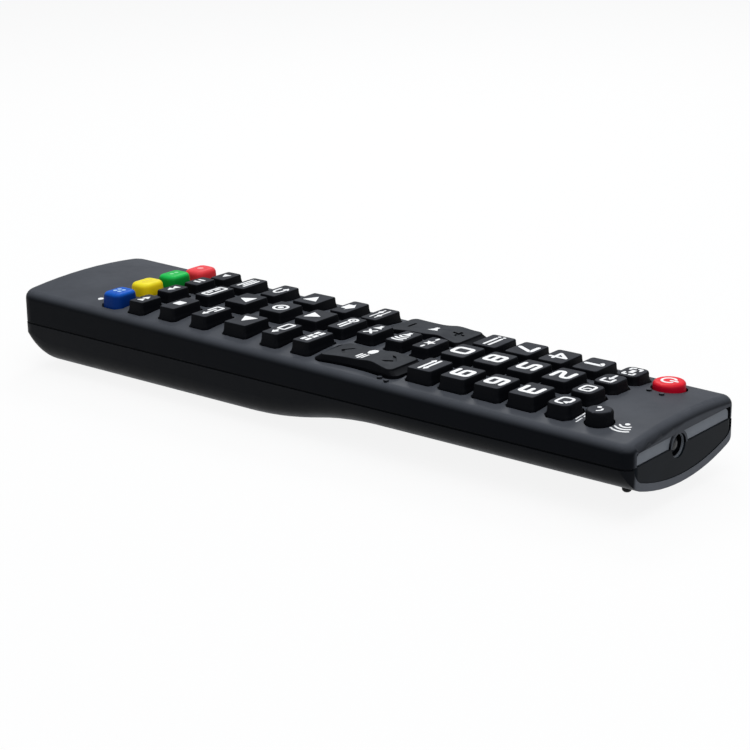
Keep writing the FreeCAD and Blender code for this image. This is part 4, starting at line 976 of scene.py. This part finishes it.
# The rim lines the hole in the band's light colour: painted light where the hole's wall catches the
# light
outer, inner = HOLE_WIDTH / 2 - RIM_CLEAR, HOLE_WIDTH / 2 - RIM_THICK
made = bmesh.new()
lathe(made, (LAMP_X, 0, LIFT), 1, [
    (inner, RIM_BACK), (outer, RIM_BACK), (outer, RIM_FRONT), (inner, RIM_FRONT), (inner, RIM_BACK),
], ends=False)
bmesh.ops.remove_doubles(made, verts=made.verts, dist=MERGE_WITHIN)
finish_mesh("lamp_rim", made, BAND, "housing")


# Rubber feet with round ends

FOOT_X = 15.5
FOOT_Y = 94.5
FOOT_RADIUS = 1.15
FOOT_ROUND = 0.9

feet_low, feet_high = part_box("front_feet")
round_from = feet_low.z / MM + FOOT_ROUND
profile = [(FOOT_RADIUS, feet_high.z / MM), (FOOT_RADIUS, round_from)]
for degrees in (20, 40, 60, 75, 87):
    spin = math.radians(degrees)
    profile.append((FOOT_RADIUS - FOOT_ROUND * (1 - math.cos(spin)),
                    round_from - FOOT_ROUND * math.sin(spin)))
made = bmesh.new()
for side in (-1, 1):
    lathe(made, (side * FOOT_X, FOOT_Y, 0), 2, profile, 24)
feet = finish_mesh("feet", made, MATERIALS["rubber"], "housing")
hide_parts("front_feet")


# Floor, light and camera, with places and sizes in metres

FLOOR_HALF = 6
FLOOR_TONE = (0.93, 0.93, 0.93)
FLOOR_BOUNCE = 0.35
FLOOR_GLOW = 0.88
SKY_TONE = (0.93, 0.96, 1.0)
SKY_STRENGTH = 0.42


def paint_floor(name, colour, bounce, glow):
    """Pale floor that keeps part of the object's shadow in front of the camera.

    Rays from the camera, and those that a gloss or clear resin sends on, see the pale colour
    and a share of glow. All others see the darker bounce tone.
    """
    made, shader = new_material(name)
    nodes, links = made.node_tree.nodes, made.node_tree.links
    shader.inputs["Roughness"].default_value = 0.9
    shader.inputs["Specular IOR Level"].default_value = 0.1
    path = nodes.new("ShaderNodeLightPath").outputs
    seen = compute(made, "MAXIMUM", path["Is Camera Ray"], path["Is Glossy Ray"])
    seen = compute(made, "MAXIMUM", seen, path["Is Transmission Ray"])
    tone = nodes.new("ShaderNodeMix")
    tone.data_type = "RGBA"
    tone.inputs["A"].default_value = (bounce, bounce, bounce, 1)
    tone.inputs["B"].default_value = (*colour, 1)
    links.new(seen, tone.inputs["Factor"])
    links.new(tone.outputs["Result"], shader.inputs["Base Color"])
    light = nodes.new("ShaderNodeEmission")
    light.inputs["Color"].default_value = (1, 1, 1, 1)
    light.inputs["Strength"].default_value = 1.0
    mixed = nodes.new("ShaderNodeMixShader")
    links.new(compute(made, "MULTIPLY", seen, glow), mixed.inputs["Fac"])
    links.new(shader.outputs["BSDF"], mixed.inputs[1])
    links.new(light.outputs["Emission"], mixed.inputs[2])
    output = next(n for n in nodes if n.type == "OUTPUT_MATERIAL")
    links.new(mixed.outputs["Shader"], output.inputs["Surface"])
    return made


ground = bmesh.new()
for x, y in rectangle(-FLOOR_HALF, -FLOOR_HALF, FLOOR_HALF, FLOOR_HALF):
    ground.verts.new((x, y, 0))
ground.faces.new(ground.verts)
floor_data = bpy.data.meshes.new("floor")
ground.to_mesh(floor_data)
ground.free()
floor_data.materials.append(paint_floor("floor_white", FLOOR_TONE, FLOOR_BOUNCE, FLOOR_GLOW))
floor = bpy.data.objects.new("floor", floor_data)
scene.collection.objects.link(floor)

world = bpy.data.worlds.new("studio")
scene.world = world
world.use_nodes = True
backdrop = world.node_tree.nodes["Background"]
backdrop.inputs["Color"].default_value = (*SKY_TONE, 1)
backdrop.inputs["Strength"].default_value = SKY_STRENGTH


def softbox(name, place, aim, size, watts):
    """Rectangular light at a place, turned towards its aim."""
    data = bpy.data.lights.new(name, "AREA")
    data.shape = "RECTANGLE"
    data.size, data.size_y = size
    data.energy = watts
    lamp = bpy.data.objects.new(name, data)
    lamp.location = place
    lamp.rotation_euler = (Vector(aim) - Vector(place)).to_track_quat("-Z", "Y").to_euler()
    scene.collection.objects.link(lamp)


softbox("light_over", (0.05, 0.05, 0.75), (0, 0, 0), (0.7, 0.9), 3.6)
softbox("light_back", (-0.46, -0.34, 0.50), (0, 0.06, 0), (0.22, 0.22), 1.3)
softbox("light_end", (0.30, 0.60, 0.30), (0, 0.1, 0), (0.3, 0.3), 0.45)

# The camera was found from the photo: its turn, rise and roll in degrees, and its focus as a
# number of the photo's pixels
AZIMUTH, ELEVATION, ROLL = 129.777, 18.027, -1.168
CAMERA_PLACE = (0.371867, 0.318541, 0.169283)
PHOTO_PIXELS = 750
FOCUS_PIXELS = 2000.0
SENSOR = 36.0
CLIP_START = 0.01

turn, rise, roll = (math.radians(v) for v in (AZIMUTH, ELEVATION, ROLL))
back = Vector((math.sin(turn) * math.cos(rise), -math.cos(turn) * math.cos(rise), math.sin(rise)))
level = Vector((math.cos(turn), math.sin(turn), 0))
upright = back.cross(level)
right = level * math.cos(roll) + upright * math.sin(roll)
up = upright * math.cos(roll) - level * math.sin(roll)
lens = bpy.data.cameras.new("camera")
lens.sensor_width = SENSOR
lens.lens = FOCUS_PIXELS / PHOTO_PIXELS * SENSOR
lens.clip_start = CLIP_START
camera = bpy.data.objects.new("camera", lens)
pose = Matrix((right, up, back)).transposed().to_4x4()
camera.matrix_world = Matrix.Translation(CAMERA_PLACE) @ pose
scene.collection.objects.link(camera)
scene.camera = camera
